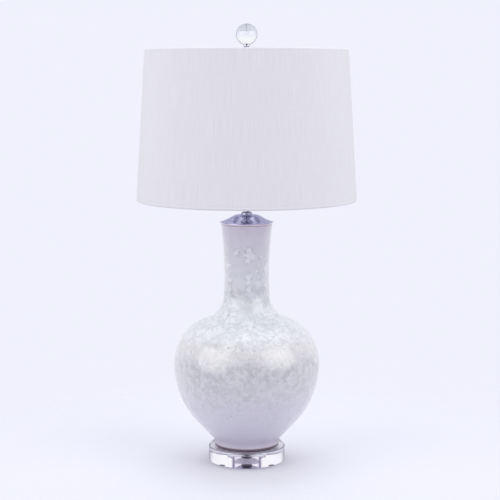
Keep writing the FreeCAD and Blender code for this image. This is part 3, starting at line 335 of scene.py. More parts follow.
# %% The floor's paper, fading out
FADE_FROM, FADE_TO, MOST_ALPHA = 0.12, 1.0, 0.8
floor_paper, tree, shader, place = new_finish("floor_paper")
grain = noise_of(tree, place, 60, 3)
paper_tone = blend_of(tree, grain, screen(236, 236, 247), screen(241, 241, 250))
reach = vector_of(tree, "LENGTH", place)
fade = step_of(tree, reach, FADE_FROM, FADE_TO, MOST_ALPHA, 0.0)
feed(tree, shader, {"Base Color": paper_tone, "Roughness": 0.9, "Specular IOR Level": 0.1,
                    "Alpha": fade, "Normal": bump_of(tree, grain, 0.05, 0.5 * MM)})
floor.data.materials.append(floor_paper)
print("floor finish:", floor_paper.name)

# %% [markdown]
# ## Crystals in a glaze
#
# The vase's glaze was cooled slowly, so that zinc crystals grew in it like frost on a
# window: pale round flowers of fine needles that start from a seed and stop where they meet.
# Pictures of such a glaze could be wrapped round the vase, but a Voronoi texture gives the
# same growth by rule: each cell is one seed. The group works out, for every point, the
# nearest seed, how far off it is along the surface and in what direction, and so where the
# flower ends and how its needles run. Petal is a coarser fan of light and shade in it.

# %% How far, and in what direction, the nearest seed lies
NEARLY_UP = (0.03, 0.05, 1)
crystal_layer, given, result = new_group(
    "crystal_layer",
    [("Place", "Vector", None), ("Facing", "Vector", None), ("Cell", "Float", 0.01),
     ("Chance", "Float", 0.5), ("Growth", "Float", 1.0), ("Seed", "Float", 0.0)],
    ["Mask", "Needles", "Petal"])
tree = crystal_layer
per_cell = sum_of(tree, "DIVIDE", 1.0, given["Cell"])
spread = vector_of(tree, "SCALE", given["Place"], scale=per_cell)
spread = vector_of(tree, "ADD", spread, join(tree, given["Seed"], given["Seed"], given["Seed"]))
seeds = put(tree, "ShaderNodeTexVoronoi", {"Vector": spread, "Scale": 1.0}, feature="F1").outputs
luck = put(tree, "ShaderNodeSeparateColor", {0: seeds["Color"]}).outputs
away = vector_of(tree, "SUBTRACT", spread, seeds["Position"])
sideways = vector_of(tree, "CROSS_PRODUCT", given["Facing"], NEARLY_UP)
across = vector_of(tree, "NORMALIZE", sideways)
along = vector_of(tree, "CROSS_PRODUCT", given["Facing"], across)
east = vector_of(tree, "DOT_PRODUCT", away, across)
north = vector_of(tree, "DOT_PRODUCT", away, along)
turn = sum_of(tree, "ARCTAN2", east, north)
far = sum_of(tree, "SQRT", sum_of(tree, "ADD", product(tree, east, east),
                                  product(tree, north, north)))
print("crystal layer nodes so far:", len(tree.nodes))

# %% The needles and the petals of each crystal
# The first row says how often a pattern changes round the seed, the second how far apart
# two crystals' own patterns lie in the same noise.
NEEDLES_ROUND, LOBES_ROUND, PETALS_ROUND = 9.0, 1.7, 0.9
NEEDLES_APART, LOBES_APART, PETALS_APART = 60.0, 35.0, 50.0
needle_place = join(tree, product(tree, turn, NEEDLES_ROUND),
                    product(tree, luck[2], NEEDLES_APART), product(tree, far, 0.8))
needles = noise_of(tree, needle_place, 1.0, 3, 0.6)
petal_place = join(tree, product(tree, turn, PETALS_ROUND), product(tree, luck[1], PETALS_APART))
petal = step_of(tree, noise_of(tree, petal_place, 1.0, 0), 0.35, 0.65)
print("crystal layer nodes with the needles:", len(tree.nodes))

# %% The outline of each crystal, in cells from its seed
LEAST_R, MORE_R = 0.2, 0.34
LEAST_LOBE, MORE_LOBE = 0.62, 0.7
FADE_IN, FADE_OUT = 0.2, 0.08
lobe_place = join(tree, product(tree, turn, LOBES_ROUND), product(tree, luck[2], LOBES_APART))
lobe = noise_of(tree, lobe_place, 1.0, 1)
radius = product(tree, scaled(tree, luck[1], MORE_R, LEAST_R),
                 scaled(tree, lobe, MORE_LOBE, LEAST_LOBE), given["Growth"])
inside = step_of(tree, far, sum_of(tree, "SUBTRACT", radius, FADE_IN),
                 sum_of(tree, "ADD", radius, FADE_OUT), 1.0, 0.0)
grown = sum_of(tree, "LESS_THAN", luck[0], given["Chance"])
give(tree, result, Mask=product(tree, inside, grown), Needles=needles, Petal=petal)
print("crystal layer nodes:", len(tree.nodes))

# %% [markdown]
# ## The glaze itself
#
# Over the lilac-grey ground lie three sizes of crystals. They crowd each other on the
# shoulder and grow small and faint towards the foot, where the glaze ran thin. The larger
# ones grew while the glaze still flowed, so their place is pulled about a little, which makes
# them feathery. On the neck stand single flowers, pale with a soft grey rim. Grey patches,
# small dark crystals and fine specks lie between and over them.
#
# The glaze ran down while it was hot, so all of this changes with height. Painting it by hand on
# a map would show a seam at the back. Height steers the same layer on the whole vase instead.
# Part of the change is painted light: the tones are lighter on the shoulder, which faces up, and
# darker towards the foot, which faces down. The bare foot ring and the lip, where the glaze
# draws back, are bands by height; the foot's dark band also paints the shade where the vase
# meets the disc, and the bead's pale band is a painted highlight.

# %% Numbers and colours that change with height
glaze, tree, shader, place = new_finish("crystal_glaze")
height = split(tree, place)[2]
facing = put(tree, "ShaderNodeNewGeometry").outputs["Normal"]


def by_height(*stops):
    """A number or colour that changes up the vase: stops are (metres, number or colour)."""
    tree, low, high = glaze.node_tree, stops[0][0], stops[-1][0]
    share = put(tree, "ShaderNodeMapRange", {0: height, 1: low, 2: high}).outputs[0]
    ramp = put(tree, "ShaderNodeValToRGB", {0: share})
    bar = ramp.color_ramp
    bar.interpolation = "EASE"
    while len(bar.elements) < len(stops):
        bar.elements.new(0.5)
    for element, (at, value) in zip(bar.elements, stops):
        element.position = (at - low) / (high - low)
        element.color = value if isinstance(value, tuple) else (value, value, value, 1)
    return ramp.outputs[0]


def tone_by_height(*stops):
    """A colour that changes up the vase: stops are (metres, red, green, blue) on a screen."""
    return by_height(*((at, screen(*tone)) for at, *tone in stops))


# %% Three sizes of crystals
PULL_SCALE, PULL, SMALL_SHOWS = 60.0, 0.02, 0.15
LARGE_CELL, MIDDLE_CELL, SMALL_CELL = 25 * MM, 13 * MM, 7.5 * MM
pull = put(tree, "ShaderNodeTexNoise", {"Vector": place, "Scale": PULL_SCALE, "Detail": 2.0})
pull = vector_of(tree, "SUBTRACT", pull.outputs["Color"], (0.5, 0.5, 0.5))
pulled = vector_of(tree, "ADD", place, vector_of(tree, "SCALE", pull, scale=PULL))


def crystals(at, cell, chance, growth, seed):
    """One layer of crystals. Cell is the room between two seeds, in metres."""
    return use_group(glaze.node_tree, crystal_layer, Place=at, Facing=facing, Cell=cell,
                     Chance=chance, Growth=growth, Seed=seed)


chance_large = by_height((0.03, 0), (0.12, 0.1), (0.2, 0.6), (0.27, 0.85), (0.335, 0.85),
                         (0.365, 0.5), (0.42, 0.4), (0.445, 0.0))
chance_small = by_height((0.03, 0), (0.07, 0.15), (0.13, 0.6), (0.2, 0.85), (0.26, 0.95),
                         (0.32, 0.9), (0.338, 0.3), (0.35, 0.0))
large = crystals(pulled, LARGE_CELL, chance_large, 1.05, 3.1)
middle = crystals(pulled, MIDDLE_CELL, chance_small, 1.15, 7.7)
small = crystals(place, SMALL_CELL, chance_small, 1.2, 1.3)
cover = sum_of(tree, "MAXIMUM", large["Mask"], middle["Mask"])
cover = sum_of(tree, "MAXIMUM", cover, product(tree, small["Mask"], SMALL_SHOWS))
needles = between(tree, large["Mask"], middle["Needles"], large["Needles"])
petal = between(tree, large["Mask"], middle["Petal"], large["Petal"])
print("room between seeds, mm:", [round(cell / MM, 1)
                                  for cell in (LARGE_CELL, MIDDLE_CELL, SMALL_CELL)])

# %% The ground under the crystals, with faint rings from the potter's wheel
RING_STRETCH = (14, 14, 330)
# partly painted light: the ground is lighter on the shoulder, which faces up, and darker towards
# the foot
ground = tone_by_height((0.036, 203, 195, 213), (0.1, 208, 204, 220), (0.2, 212, 211, 219),
                        (0.245, 222, 220, 222), (0.29, 218, 222, 225), (0.36, 212, 213, 222),
                        (0.42, 212, 210, 221), (0.47, 217, 209, 224))
cloud = noise_of(tree, place, 28, 3)
ground = blend_of(tree, product(tree, cloud, 0.3), ground, screen(222, 223, 229))
rings = noise_of(tree, vector_of(tree, "MULTIPLY", place, RING_STRETCH), 1.0, 2)
below_shoulder = step_of(tree, height, 0.24, 0.31, 0.1, 0.0)
rings = product(tree, step_of(tree, rings, 0.45, 0.7), below_shoulder)
ground = blend_of(tree, rings, ground, screen(236, 236, 240))
print("glaze nodes with the ground:", len(tree.nodes))

# %% The crystals' painted light and shade, a silky sheen that changes across each fan, laid over the ground
# partly painted light: both tones are lighter on the shoulder, which faces up, than lower down
shaded = tone_by_height((0.1, 190, 188, 202), (0.2, 190, 190, 198), (0.24, 212, 211, 213),
                        (0.27, 230, 233, 237), (0.31, 226, 229, 233), (0.335, 205, 206, 212),
                        (0.37, 192, 192, 199), (0.45, 196, 195, 203))
bright = tone_by_height((0.1, 218, 217, 226), (0.2, 226, 226, 231), (0.24, 242, 241, 241),
                        (0.27, 249, 250, 252), (0.315, 246, 246, 249), (0.34, 227, 227, 233),
                        (0.37, 236, 236, 241), (0.45, 234, 233, 240))
drift = noise_of(tree, place, 34, 2)
tone = scaled(tree, petal, 0.7, scaled(tree, drift, 1.6, -0.8))
tone = scaled(tree, needles, 0.3, tone, clamp=True)
strength = by_height((0.03, 0.0), (0.08, 0.3), (0.14, 0.6), (0.22, 0.85), (0.34, 0.95),
                     (0.42, 0.9))
colour = blend_of(tree, product(tree, cover, strength), ground,
                  blend_of(tree, tone, shaded, bright))
print("glaze nodes with the crystals:", len(tree.nodes))

# %% Single flowers on the neck
flower_chance = by_height((0.33, 0.0), (0.35, 0.4), (0.43, 0.3), (0.45, 0.0))
flowers = crystals(place, 0.024, flower_chance, 1.25, 12.0)
body = product(tree, flowers["Mask"], scaled(tree, flowers["Needles"], 0.9, 0.1))
colour = blend_of(tree, body, colour, screen(234, 234, 241))
rim = product(tree, flowers["Mask"], sum_of(tree, "SUBTRACT", 1.0, flowers["Mask"]))
rim = sum_of(tree, "MULTIPLY", rim, scaled(tree, flowers["Petal"], 2.2, 0.6), clamp=True)
colour = blend_of(tree, rim, colour, screen(184, 184, 195))
print("glaze nodes with the flowers:", len(tree.nodes))

# %% Grey patches, small dark crystals and fine specks
# the grey patches lie thickest in a band at 0.18 to 0.24 m, just under the shoulder, and at the
# foot of the neck
patches = by_height((0.1, 0.0), (0.18, 0.35), (0.21, 0.5), (0.24, 0.1), (0.31, 0.1),
                    (0.342, 0.5), (0.375, 0.1))
patches = product(tree, step_of(tree, noise_of(tree, place, 75, 2), 0.42, 0.62), patches)
dark = by_height((0.2, 0.0), (0.25, 0.5), (0.32, 0.55), (0.34, 0.0))
dark = product(tree, crystals(place, 0.012, 0.35, 0.5, 11.9)["Mask"], dark)
specks = by_height((0.05, 0.12), (0.12, 0.22), (0.2, 0.22), (0.3, 0.12), (0.34, 0.05))
specks = product(tree, step_of(tree, noise_of(tree, place, 420, 1), 0.5, 0.72), specks)
for where, tone in ((patches, (178, 179, 186)), (dark, (160, 167, 168)),
                    (specks, (170, 169, 184))):
    colour = blend_of(tree, where, colour, screen(*tone))
print("glaze nodes with the specks:", len(tree.nodes))

# %% The bare foot ring, dark also as painted contact shade, and the lip with its bead, pale as a painted highlight
FOOT_AT, LIP_AT, BEAD_AT = 0.0380, 0.4778, 0.4796
# painted shade: the bare foot's band is dark plum also for the shade where the vase meets the
# disc
foot = step_of(tree, height, FOOT_AT, FOOT_AT + 2.5 * MM, 1.0, 0.0)
lip = step_of(tree, height, LIP_AT, LIP_AT + MM)
# painted highlight: the bead on the lip is pale where its round top catches the light
painted_bead_highlight = step_of(tree, height, BEAD_AT, BEAD_AT + MM)
for where, tone in ((foot, (96, 73, 90)), (lip, (184, 162, 174)), (painted_bead_highlight, (240, 230, 238))):
    colour = blend_of(tree, where, colour, screen(*tone))
print("glaze nodes with the foot and the lip:", len(tree.nodes))

# %% The glaze's gloss and relief
ripple = noise_of(tree, place, 45, 2)
relief = sum_of(tree, "ADD", product(tree, cover, 0.6), product(tree, ripple, 0.6))
feed(tree, shader, {"Base Color": colour, "Roughness": scaled(tree, cover, 0.12, 0.28),
                    "Coat Weight": 1.0, "Coat Roughness": 0.12, "Coat IOR": 1.55,
                    "Normal": bump_of(tree, relief, 0.15, 0.8 * MM)})
print("glaze nodes:", len(tree.nodes))

# %% [markdown]
# ## Metal, plastic, rubber and paper
#
# Clean metal still shows traces of its making and of hands: faint turning marks and soft
# cloudy smudges that change how sharp a reflection is. Each metal could have its own nodes
# for that, but they would be the same nodes every time, so one group gives them to all of
# them, with a slow drift between two tones. A second group gives the fine grain of moulded
# plastic and card. The finish of each piece then sets only its own colours and gloss.

# %% The marks of metal
metal_marks, given, result = new_group(
    "metal_marks",
    [("Place", "Vector", None), ("Gloss", "Float", 0.1), ("Smudge", "Float", 0.08)],
    ["Shade", "Roughness", "Relief"])
x, y, z = split(metal_marks, given["Place"])
from_axis = vector_of(metal_marks, "LENGTH", join(metal_marks, x, y))
smudges = noise_of(metal_marks, given["Place"], 70, 3)
give(metal_marks, result,
     Shade=noise_of(metal_marks, given["Place"], 45, 2),
     Roughness=scaled(metal_marks, smudges, given["Smudge"], given["Gloss"]),
     Relief=noise_of(metal_marks, join(metal_marks, from_axis, z), 2500, 2))


def metal(name, bright, dark, gloss, smudge, relief):
    """A metal whose colour drifts a little between two tones."""
    material, tree, shader, place = new_finish(name)
    marks = use_group(tree, metal_marks, Place=place, Gloss=gloss, Smudge=smudge)
    tone = blend_of(tree, marks["Shade"], screen(*bright), screen(*dark))
    feed(tree, shader, {"Base Color": tone, "Roughness": marks["Roughness"], "Metallic": 1.0,
                        "Normal": bump_of(tree, marks["Relief"], relief, 0.1 * MM)})
    return material


print("metal marks nodes:", len(metal_marks.nodes))

# %% The grain of moulded pieces
moulded_grain, given, result = new_group(
    "moulded_grain", [("Place", "Vector", None), ("Size", "Float", 900.0)], ["Shade", "Relief"])
give(moulded_grain, result, Shade=noise_of(moulded_grain, given["Place"], 60, 3),
     Relief=noise_of(moulded_grain, given["Place"], given["Size"], 2))


def moulded(name, bright, dark, roughness, size, relief):
    """A plastic, rubber or card whose colour drifts a little between two tones."""
    material, tree, shader, place = new_finish(name)
    grain = use_group(tree, moulded_grain, Place=place, Size=size)
    tone = blend_of(tree, grain["Shade"], screen(*bright), screen(*dark))
    feed(tree, shader, {"Base Color": tone,
                        "Roughness": scaled(tree, grain["Shade"], 0.15, roughness - 0.07),
                        "Normal": bump_of(tree, grain["Relief"], relief, 0.1 * MM)})
    return material


print("moulded grain nodes:", len(moulded_grain.nodes))

# %% The finishes made with them
METALS = {  # bright tone, dark tone, gloss, smudges, relief
    "plated_steel": ((196, 196, 198), (170, 171, 176), 0.22, 0.15, 0.1),
    "polished_nickel": ((206, 205, 212), (186, 185, 194), 0.06, 0.06, 0.02),
    # the cap's lilac tint is a painted reflection of the shade's lilac inside
    "cap_nickel_painted_lilac": ((216, 211, 238), (204, 199, 230), 0.07, 0.06, 0.02),
    "socket_metal": ((205, 204, 208), (186, 186, 192), 0.14, 0.1, 0.05),
    "bare_brass": ((205, 172, 98), (184, 150, 80), 0.24, 0.15, 0.1),
    "thread_metal": ((190, 188, 182), (168, 165, 158), 0.24, 0.12, 0.1),
    # painted shade for the nut and its lock washer, lit less in the disc's recess
    "nut_steel_painted_shade": ((92, 90, 100), (66, 64, 74), 0.25, 0.15, 0.1),
    # the washer's lilac tint is a painted reflection, as it is seen through the clear disc
    "washer_steel_painted_lilac": ((150, 140, 188), (128, 118, 166), 0.2, 0.12, 0.1),
    "shade_wire": ((205, 205, 208), (188, 188, 192), 0.3, 0.15, 0.1),
}
MOULDED = {  # bright tone, dark tone, roughness, size of the grain, relief
    "cap_glass": ((28, 28, 34), (20, 20, 25), 0.2, 900, 0.1),
    "black_plastic": ((30, 30, 33), (20, 20, 22), 0.4, 900, 0.1),
    "phenolic": ((38, 33, 31), (26, 23, 22), 0.35, 900, 0.1),
    "paperboard": ((150, 126, 98), (128, 106, 82), 0.85, 1500, 0.3),
    "shade_backing": ((250, 252, 255), (247, 249, 255), 0.45, 700, 0.06),
}
finishes = {"vase_glaze": glaze}
finishes |= {name: metal(name, *values) for name, values in METALS.items()}
finishes |= {name: moulded(name, *values) for name, values in MOULDED.items()}
print("finishes so far:", len(finishes))

# %% [markdown]
# ## Clear pieces
#
# The disc under the vase is cast acrylic with polished faces, the ball on top is crystal
# glass and the little feet are soft clear plastic. Each is a closed solid, so the renderer can
# bend light on its way in and out. Real cast pieces are never quite flat: a very faint swell
# in the surface keeps the reflections from looking drawn with a ruler. A clear piece casts a
# pale violet shadow rather than a black one. The bulb is frosted, so it is nearly white.

# %% The haze and swell of cast pieces
cast_haze, given, result = new_group(
    "cast_haze",
    [("Place", "Vector", None), ("Cloud", "Float", 120.0), ("Least", "Float", 0.0),
     ("Spread", "Float", 0.01), ("Swell", "Float", 14.0)],
    ["Haze", "Roughness", "Relief"])
haze = noise_of(cast_haze, given["Place"], given["Cloud"], 3)
give(cast_haze, result, Haze=haze,
     Roughness=scaled(cast_haze, haze, given["Spread"], given["Least"]),
     Relief=noise_of(cast_haze, given["Place"], given["Swell"], 1))
print("cast haze nodes:", len(cast_haze.nodes))

# %% Clear finishes
CLEAR_SHADOW = (0.68, 0.61, 0.8, 1)


def clear(name, tint, dull, bend, swell, waves, marks=None):
    """A clear finish. Marks is a function that lays painted shade over its tint."""
    material, tree, shader, place = new_finish(name)
    cast = use_group(tree, cast_haze, Place=place, Least=dull * 0.3, Spread=dull, Swell=waves)
    colour = blend_of(tree, cast["Haze"], screen(*tint), (1, 1, 1, 1))
    if marks:
        colour = marks(tree, place, colour)
    feed(tree, shader, {"Base Color": colour, "Roughness": cast["Roughness"], "IOR": bend,
                        "Transmission Weight": 1.0,
                        "Normal": bump_of(tree, cast["Relief"], swell, 2 * MM)})
    through = put(tree, "ShaderNodeBsdfTransparent", {"Color": CLEAR_SHADOW})
    shadow_ray = put(tree, "ShaderNodeLightPath").outputs["Is Shadow Ray"]
    either = put(tree, "ShaderNodeMixShader",
                 {0: shadow_ray, 1: shader.outputs[0], 2: through.outputs[0]})
    output = next(node for node in tree.nodes if node.type == "OUTPUT_MATERIAL")
    tree.links.new(either.outputs[0], output.inputs["Surface"])
    return material


# name, tint, how dull it is, how much it bends light, how deep and how close its swell is
finishes["crystal"] = clear("crystal", (250, 251, 255), 0.004, 1.52, 0.005, 14.0)
finishes["clear_rubber"] = clear("clear_rubber", (252, 252, 252), 0.12, 1.45, 0.05, 60.0)
print("a clear piece lets this much light into its shadow:", CLEAR_SHADOW[:3])

# %% The disc, with painted shade: a dark line at its lower edge and a lilac tint in its recess
DISC_R, DISC_FOOT, RECESS_R = 76.2 * MM, 3.35 * MM, 25.4 * MM


def disc_painted_shade(tree, place, colour):
    """Painted shade: a dark line along the lower edge for the shadow gap under it, and a lilac
    tint in the turned recess for the shadowed floor seen through it.
    """
    x, y, z = split(tree, place)
    from_axis = vector_of(tree, "LENGTH", join(tree, x, y))
    low = step_of(tree, z, DISC_FOOT + 0.85 * MM, DISC_FOOT + 1.85 * MM, 1.0, 0.0)
    outer = step_of(tree, from_axis, DISC_R - 2 * MM, DISC_R - MM)
    # painted shade: a dark line along the lower edge, for the shadow gap under the disc
    colour = blend_of(tree, product(tree, low, outer), colour, screen(132, 122, 168))
    # painted shade: a lilac tint in the recess, for the shadowed floor seen through it
    recess = step_of(tree, from_axis, RECESS_R + 0.2 * MM, RECESS_R + 1.2 * MM, 1.0, 0.0)
    return blend_of(tree, recess, colour, screen(242, 236, 248))


finishes["clear_acrylic"] = clear("clear_acrylic", (250, 245, 255), 0.01, 1.49, 0.02, 14.0,
                                  disc_painted_shade)
print("disc radius, mm:", round(DISC_R / MM, 1))

# %% The frosted bulb
frosted, tree, shader, place = new_finish("frosted_glass")
cast = use_group(tree, cast_haze, Place=place, Cloud=150.0, Least=0.35, Spread=0.1)
frost = blend_of(tree, cast["Haze"], screen(246, 246, 246), screen(252, 252, 252))
feed(tree, shader, {"Base Color": frost, "Roughness": cast["Roughness"],
                    "Transmission Weight": 0.1})
finishes["frosted_glass"] = frosted
print("finishes in all:", len(finishes))

# %% [markdown]
# ## Finishes on the pieces
#
# The shapes of the rigid pieces are right as they come, so their meshes stay and only their
# materials change. Each mesh names the finish that it was given in the solid model, and that
# name leads to the finish made here. Four pieces then get a metal of their own with painted
# light: the cap's nickel is tinted lilac as a painted reflection of the shade's lilac inside,
# the washer is tinted lilac as a painted reflection where it is seen through the clear disc, and
# the nut and its lock washer are dark as painted shade in the disc's recess, where they are lit
# less than the others.

# %% Each rigid piece gets its finish
dressed = 0
for name, node in nodes.items():
    for slot in node.material_slots:
        finish = slot.material.name.split(".")[0]
        if finish in finishes:
            slot.material = finishes[finish]
            dressed += 1
        else:
            print("left for its own step:", name)
print("pieces with a finish:", dressed)

# %% Four pieces with painted light: lilac reflections on the cap and washer, shade on the nut
metal_with_painted_light = {"vase_cap": "cap_nickel_painted_lilac", "base_nut": "nut_steel_painted_shade",
             "base_lock_washer": "nut_steel_painted_shade", "base_washer": "washer_steel_painted_lilac"}
for name, finish in metal_with_painted_light.items():
    nodes[name].material_slots[0].material = finishes[finish]
print("pieces with a metal of their own:", list(metal_with_painted_light))

# %% [markdown]
# ## The little feet
#
# Four soft clear pads are stuck under the disc. Where one shape repeats, a Geometry Nodes
# tree places the copies: one pad is turned from its outline, and the tree puts it on the
# corners of a circle. It ends by making the copies real, so that they export as plain mesh.

# %% One pad, turned from its outline, in millimetres
PAD_DIA, PAD_HIGH, PAD_ROUND = 12.7, 3.35, 1.8
PAD_SIDES, ROUND_STEPS = 32, 6


def turned(name, outline, sides):
    """A closed solid of revolution from (radius, height) points, first and last on the axis."""
    made = bmesh.new()
    rows = []
    for r, z in outline:
        angles = [2 * math.pi * k / sides for k in range(sides)] if r else [0.0]
        rows.append([made.verts.new((r * MM * math.cos(t), r * MM * math.sin(t), z * MM))
                     for t in angles])
    for low, high in zip(rows, rows[1:]):
        for k in range(sides):
            nxt = (k + 1) % sides
            corners = [low[k % len(low)], low[nxt % len(low)],
                       high[nxt % len(high)], high[k % len(high)]]
            face = made.faces.new(list(dict.fromkeys(corners)))
            face.smooth = True
    bmesh.ops.recalc_face_normals(made, faces=made.faces)
    mesh = bpy.data.meshes.new(name)
    made.to_mesh(mesh)
    made.free()
    return mesh


round_edge = [(PAD_DIA / 2 - PAD_ROUND + PAD_ROUND * math.sin(t),
               PAD_ROUND - PAD_ROUND * math.cos(t))
              for t in (math.pi / 2 * k / ROUND_STEPS for k in range(ROUND_STEPS + 1))]
pad_outline = [(0, 0.0), (PAD_DIA / 4, 0.0)] + round_edge + [(PAD_DIA / 2, PAD_HIGH),
                                                             (0, PAD_HIGH)]
one_pad = bpy.data.objects.new("one_pad", turned("one_pad", pad_outline, PAD_SIDES))
scene.collection.objects.link(one_pad)
print("faces in a pad:", len(one_pad.data.polygons))

# %% The tree that copies a pad round a circle
pad_ring = bpy.data.node_groups.new("pad_ring", "GeometryNodeTree")
for label, kind in (("Pad", "Object"), ("Count", "Int"), ("Circle", "Float"), ("Turn", "Float"),
                    ("Finish", "Material")):
    pad_ring.interface.new_socket(label, in_out="INPUT", socket_type="NodeSocket" + kind)
pad_ring.interface.new_socket("Geometry", in_out="OUTPUT", socket_type="NodeSocketGeometry")
given = pad_ring.nodes.new("NodeGroupInput").outputs
radius = product(pad_ring, given["Circle"], 0.5)
corners = put(pad_ring, "GeometryNodeMeshCircle", {"Vertices": given["Count"], "Radius": radius})
ring = put(pad_ring, "GeometryNodeTransform",
           {"Geometry": corners.outputs[0], "Rotation": join(pad_ring, 0.0, 0.0, given["Turn"])})
pad = put(pad_ring, "GeometryNodeObjectInfo", {"Object": given["Pad"]})
copies = put(pad_ring, "GeometryNodeInstanceOnPoints",
             {"Points": ring.outputs[0], "Instance": pad.outputs["Geometry"]})
real = put(pad_ring, "GeometryNodeRealizeInstances", {"Geometry": copies.outputs[0]})
painted = put(pad_ring, "GeometryNodeSetMaterial",
              {"Geometry": real.outputs[0], "Material": given["Finish"]})
give(pad_ring, pad_ring.nodes.new("NodeGroupOutput").inputs, Geometry=painted.outputs[0])
print("pad ring nodes:", len(pad_ring.nodes))

# %% The four pads, on a circle whose diameter is in millimetres, turned by degrees
PAD_CIRCLE, PAD_COUNT, PAD_TURN = 126.0, 4, 45


def grow(name, tree, **values):
    """Run a Geometry Nodes tree with these inputs and keep its result as a plain mesh."""
    holder = bpy.data.objects.new(name, bpy.data.meshes.new(name + "_empty"))
    scene.collection.objects.link(holder)
    grower = holder.modifiers.new(name, "NODES")
    grower.node_group = tree
    sockets = {item.name: item.identifier
               for item in tree.interface.items_tree if item.in_out == "INPUT"}
    for label, value in values.items():
        grower[sockets[label]] = value
    view = bpy.context.evaluated_depsgraph_get()
    mesh = bpy.data.meshes.new_from_object(holder.evaluated_get(view))
    holder.modifiers.remove(grower)
    holder.data = mesh
    return holder


clear_pads = grow("clear_pads", pad_ring, Pad=one_pad, Count=PAD_COUNT, Circle=PAD_CIRCLE * MM,
                  Turn=math.radians(PAD_TURN), Finish=finishes["clear_rubber"])
bpy.data.objects.remove(one_pad)
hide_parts("foot_bumpers")
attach(clear_pads, "lamp_base")
print("pads:", len(clear_pads.data.polygons), "faces")

# %% [markdown]
# ## The shade's cloth
#
# A hardback shade is one curved strip of cloth, glued round a stiff backing. It rolls over
# the wire ring at each edge and is tucked in behind it, and its two ends overlap at the back.
# Cloth simulation would only pull it tight again, so the sheet is turned directly from its
# real section: up the wall and round both rings. A faint groove next to each hem shows where
# the glue pulls it in. The surface is one layer, and Solidify gives it the cloth's thickness.

# %% Sizes of the shade, in millimetres, and its slope
SHADE_LOW_DIA, SHADE_TOP_DIA, SHADE_HEIGHT = 432.6, 396.0, 295.5
SHADE_FOOT = 525.92
HEM_R, CLOTH, TUCK = 3.2, 0.5, 3.0
SLOPE = (SHADE_LOW_DIA - SHADE_TOP_DIA) / 2 / SHADE_HEIGHT
LEAN = math.atan(SLOPE)
LOW_R = SHADE_LOW_DIA / 2 - HEM_R * (SLOPE + 1 / math.cos(LEAN))
TOP_R = SHADE_TOP_DIA / 2 + HEM_R * (SLOPE - 1 / math.cos(LEAN))
print("ring radii:", round(LOW_R, 2), round(TOP_R, 2))

# %% The cloth's section, from the tuck inside the top to the tuck inside the foot
# Each point of a hem's groove: how far it lies from the ring, and how deep it is
GROOVE = ((1.2, 0.05), (2.2, 0.28), (3.0, 0.32), (4.2, 0.1))
WALL_FROM, WALL_STEPS, HEM_STEPS = 6, 24, 10


def shade_section():
    """Points as (radius, height), with the cloth's outer face on the left of the way."""
    out = (math.cos(LEAN), math.sin(LEAN))
    up = (-math.sin(LEAN), math.cos(LEAN))

    def at(centre, side, rise):
        return (centre[0] + side * out[0] + rise * up[0],
                centre[1] + side * out[1] + rise * up[1])

    def hem(centre, start):
        turns = (start - math.pi * k / HEM_STEPS for k in range(HEM_STEPS + 1))
        return [at(centre, HEM_R * math.cos(t), HEM_R * math.sin(t)) for t in turns]

    low, top = (LOW_R, HEM_R), (TOP_R, SHADE_HEIGHT - HEM_R)
    length = math.dist(low, top)
    way = [at(top, -HEM_R, -TUCK), at(top, -HEM_R, -TUCK / 2)] + hem(top, math.pi)
    way += [at(top, HEM_R - dent, -drop) for drop, dent in GROOVE]
    way += [at(low, HEM_R, length - WALL_FROM - (length - 2 * WALL_FROM) * k / WALL_STEPS)
            for k in range(WALL_STEPS + 1)]
    way += [at(low, HEM_R - dent, rise) for rise, dent in reversed(GROOVE)]
    way += hem(low, 0.0) + [at(low, -HEM_R, TUCK / 2), at(low, -HEM_R, TUCK)]
    return way


section = shade_section()
run = [0.0]
for first, second in zip(section, section[1:]):
    run.append(run[-1] + math.dist(first, second))
print("cloth across the shade, mm:", round(run[-1], 1))

# %% Angles round the shade, the slits for the spider's arms and the lap at the seam
ARMS, SLIT_HALF = (90, 210, 330), 0.9
SEAM_AT, SEAM_WIDE, SEAM_STEP, SEAM_LIFT = 90.0, 12.0, 0.12, 0.3
SEAM_TURN = math.degrees(SEAM_WIDE / (SHADE_LOW_DIA / 2))
SHADE_SIDES = 288


def shade_angles():
    """Angles round the shade in degrees, closer together at both edges of the seam."""
    angles = {round(k * 360 / SHADE_SIDES, 4) for k in range(SHADE_SIDES)}
    angles |= {round(SEAM_AT - SEAM_STEP, 4), SEAM_AT, round(SEAM_AT + SEAM_TURN, 4),
               round(SEAM_AT + SEAM_TURN + SEAM_STEP, 4)}
    return sorted(angles)


def in_slit(angle, rise):
    """Whether a point of the top tuck lies in a slit for one of the spider's arms."""
    near = min(abs((angle - arm + 180) % 360 - 180) for arm in ARMS)
    return near < SLIT_HALF and rise < TUCK + HEM_R * math.pi / 2


def lap(angle):
    """How far the cloth stands out over its own end at the seam."""
    return SEAM_LIFT if SEAM_AT <= angle < SEAM_AT + SEAM_TURN + SEAM_STEP / 2 else 0.0


print("seam, degrees:", SEAM_AT, "to", round(SEAM_AT + SEAM_TURN, 2))


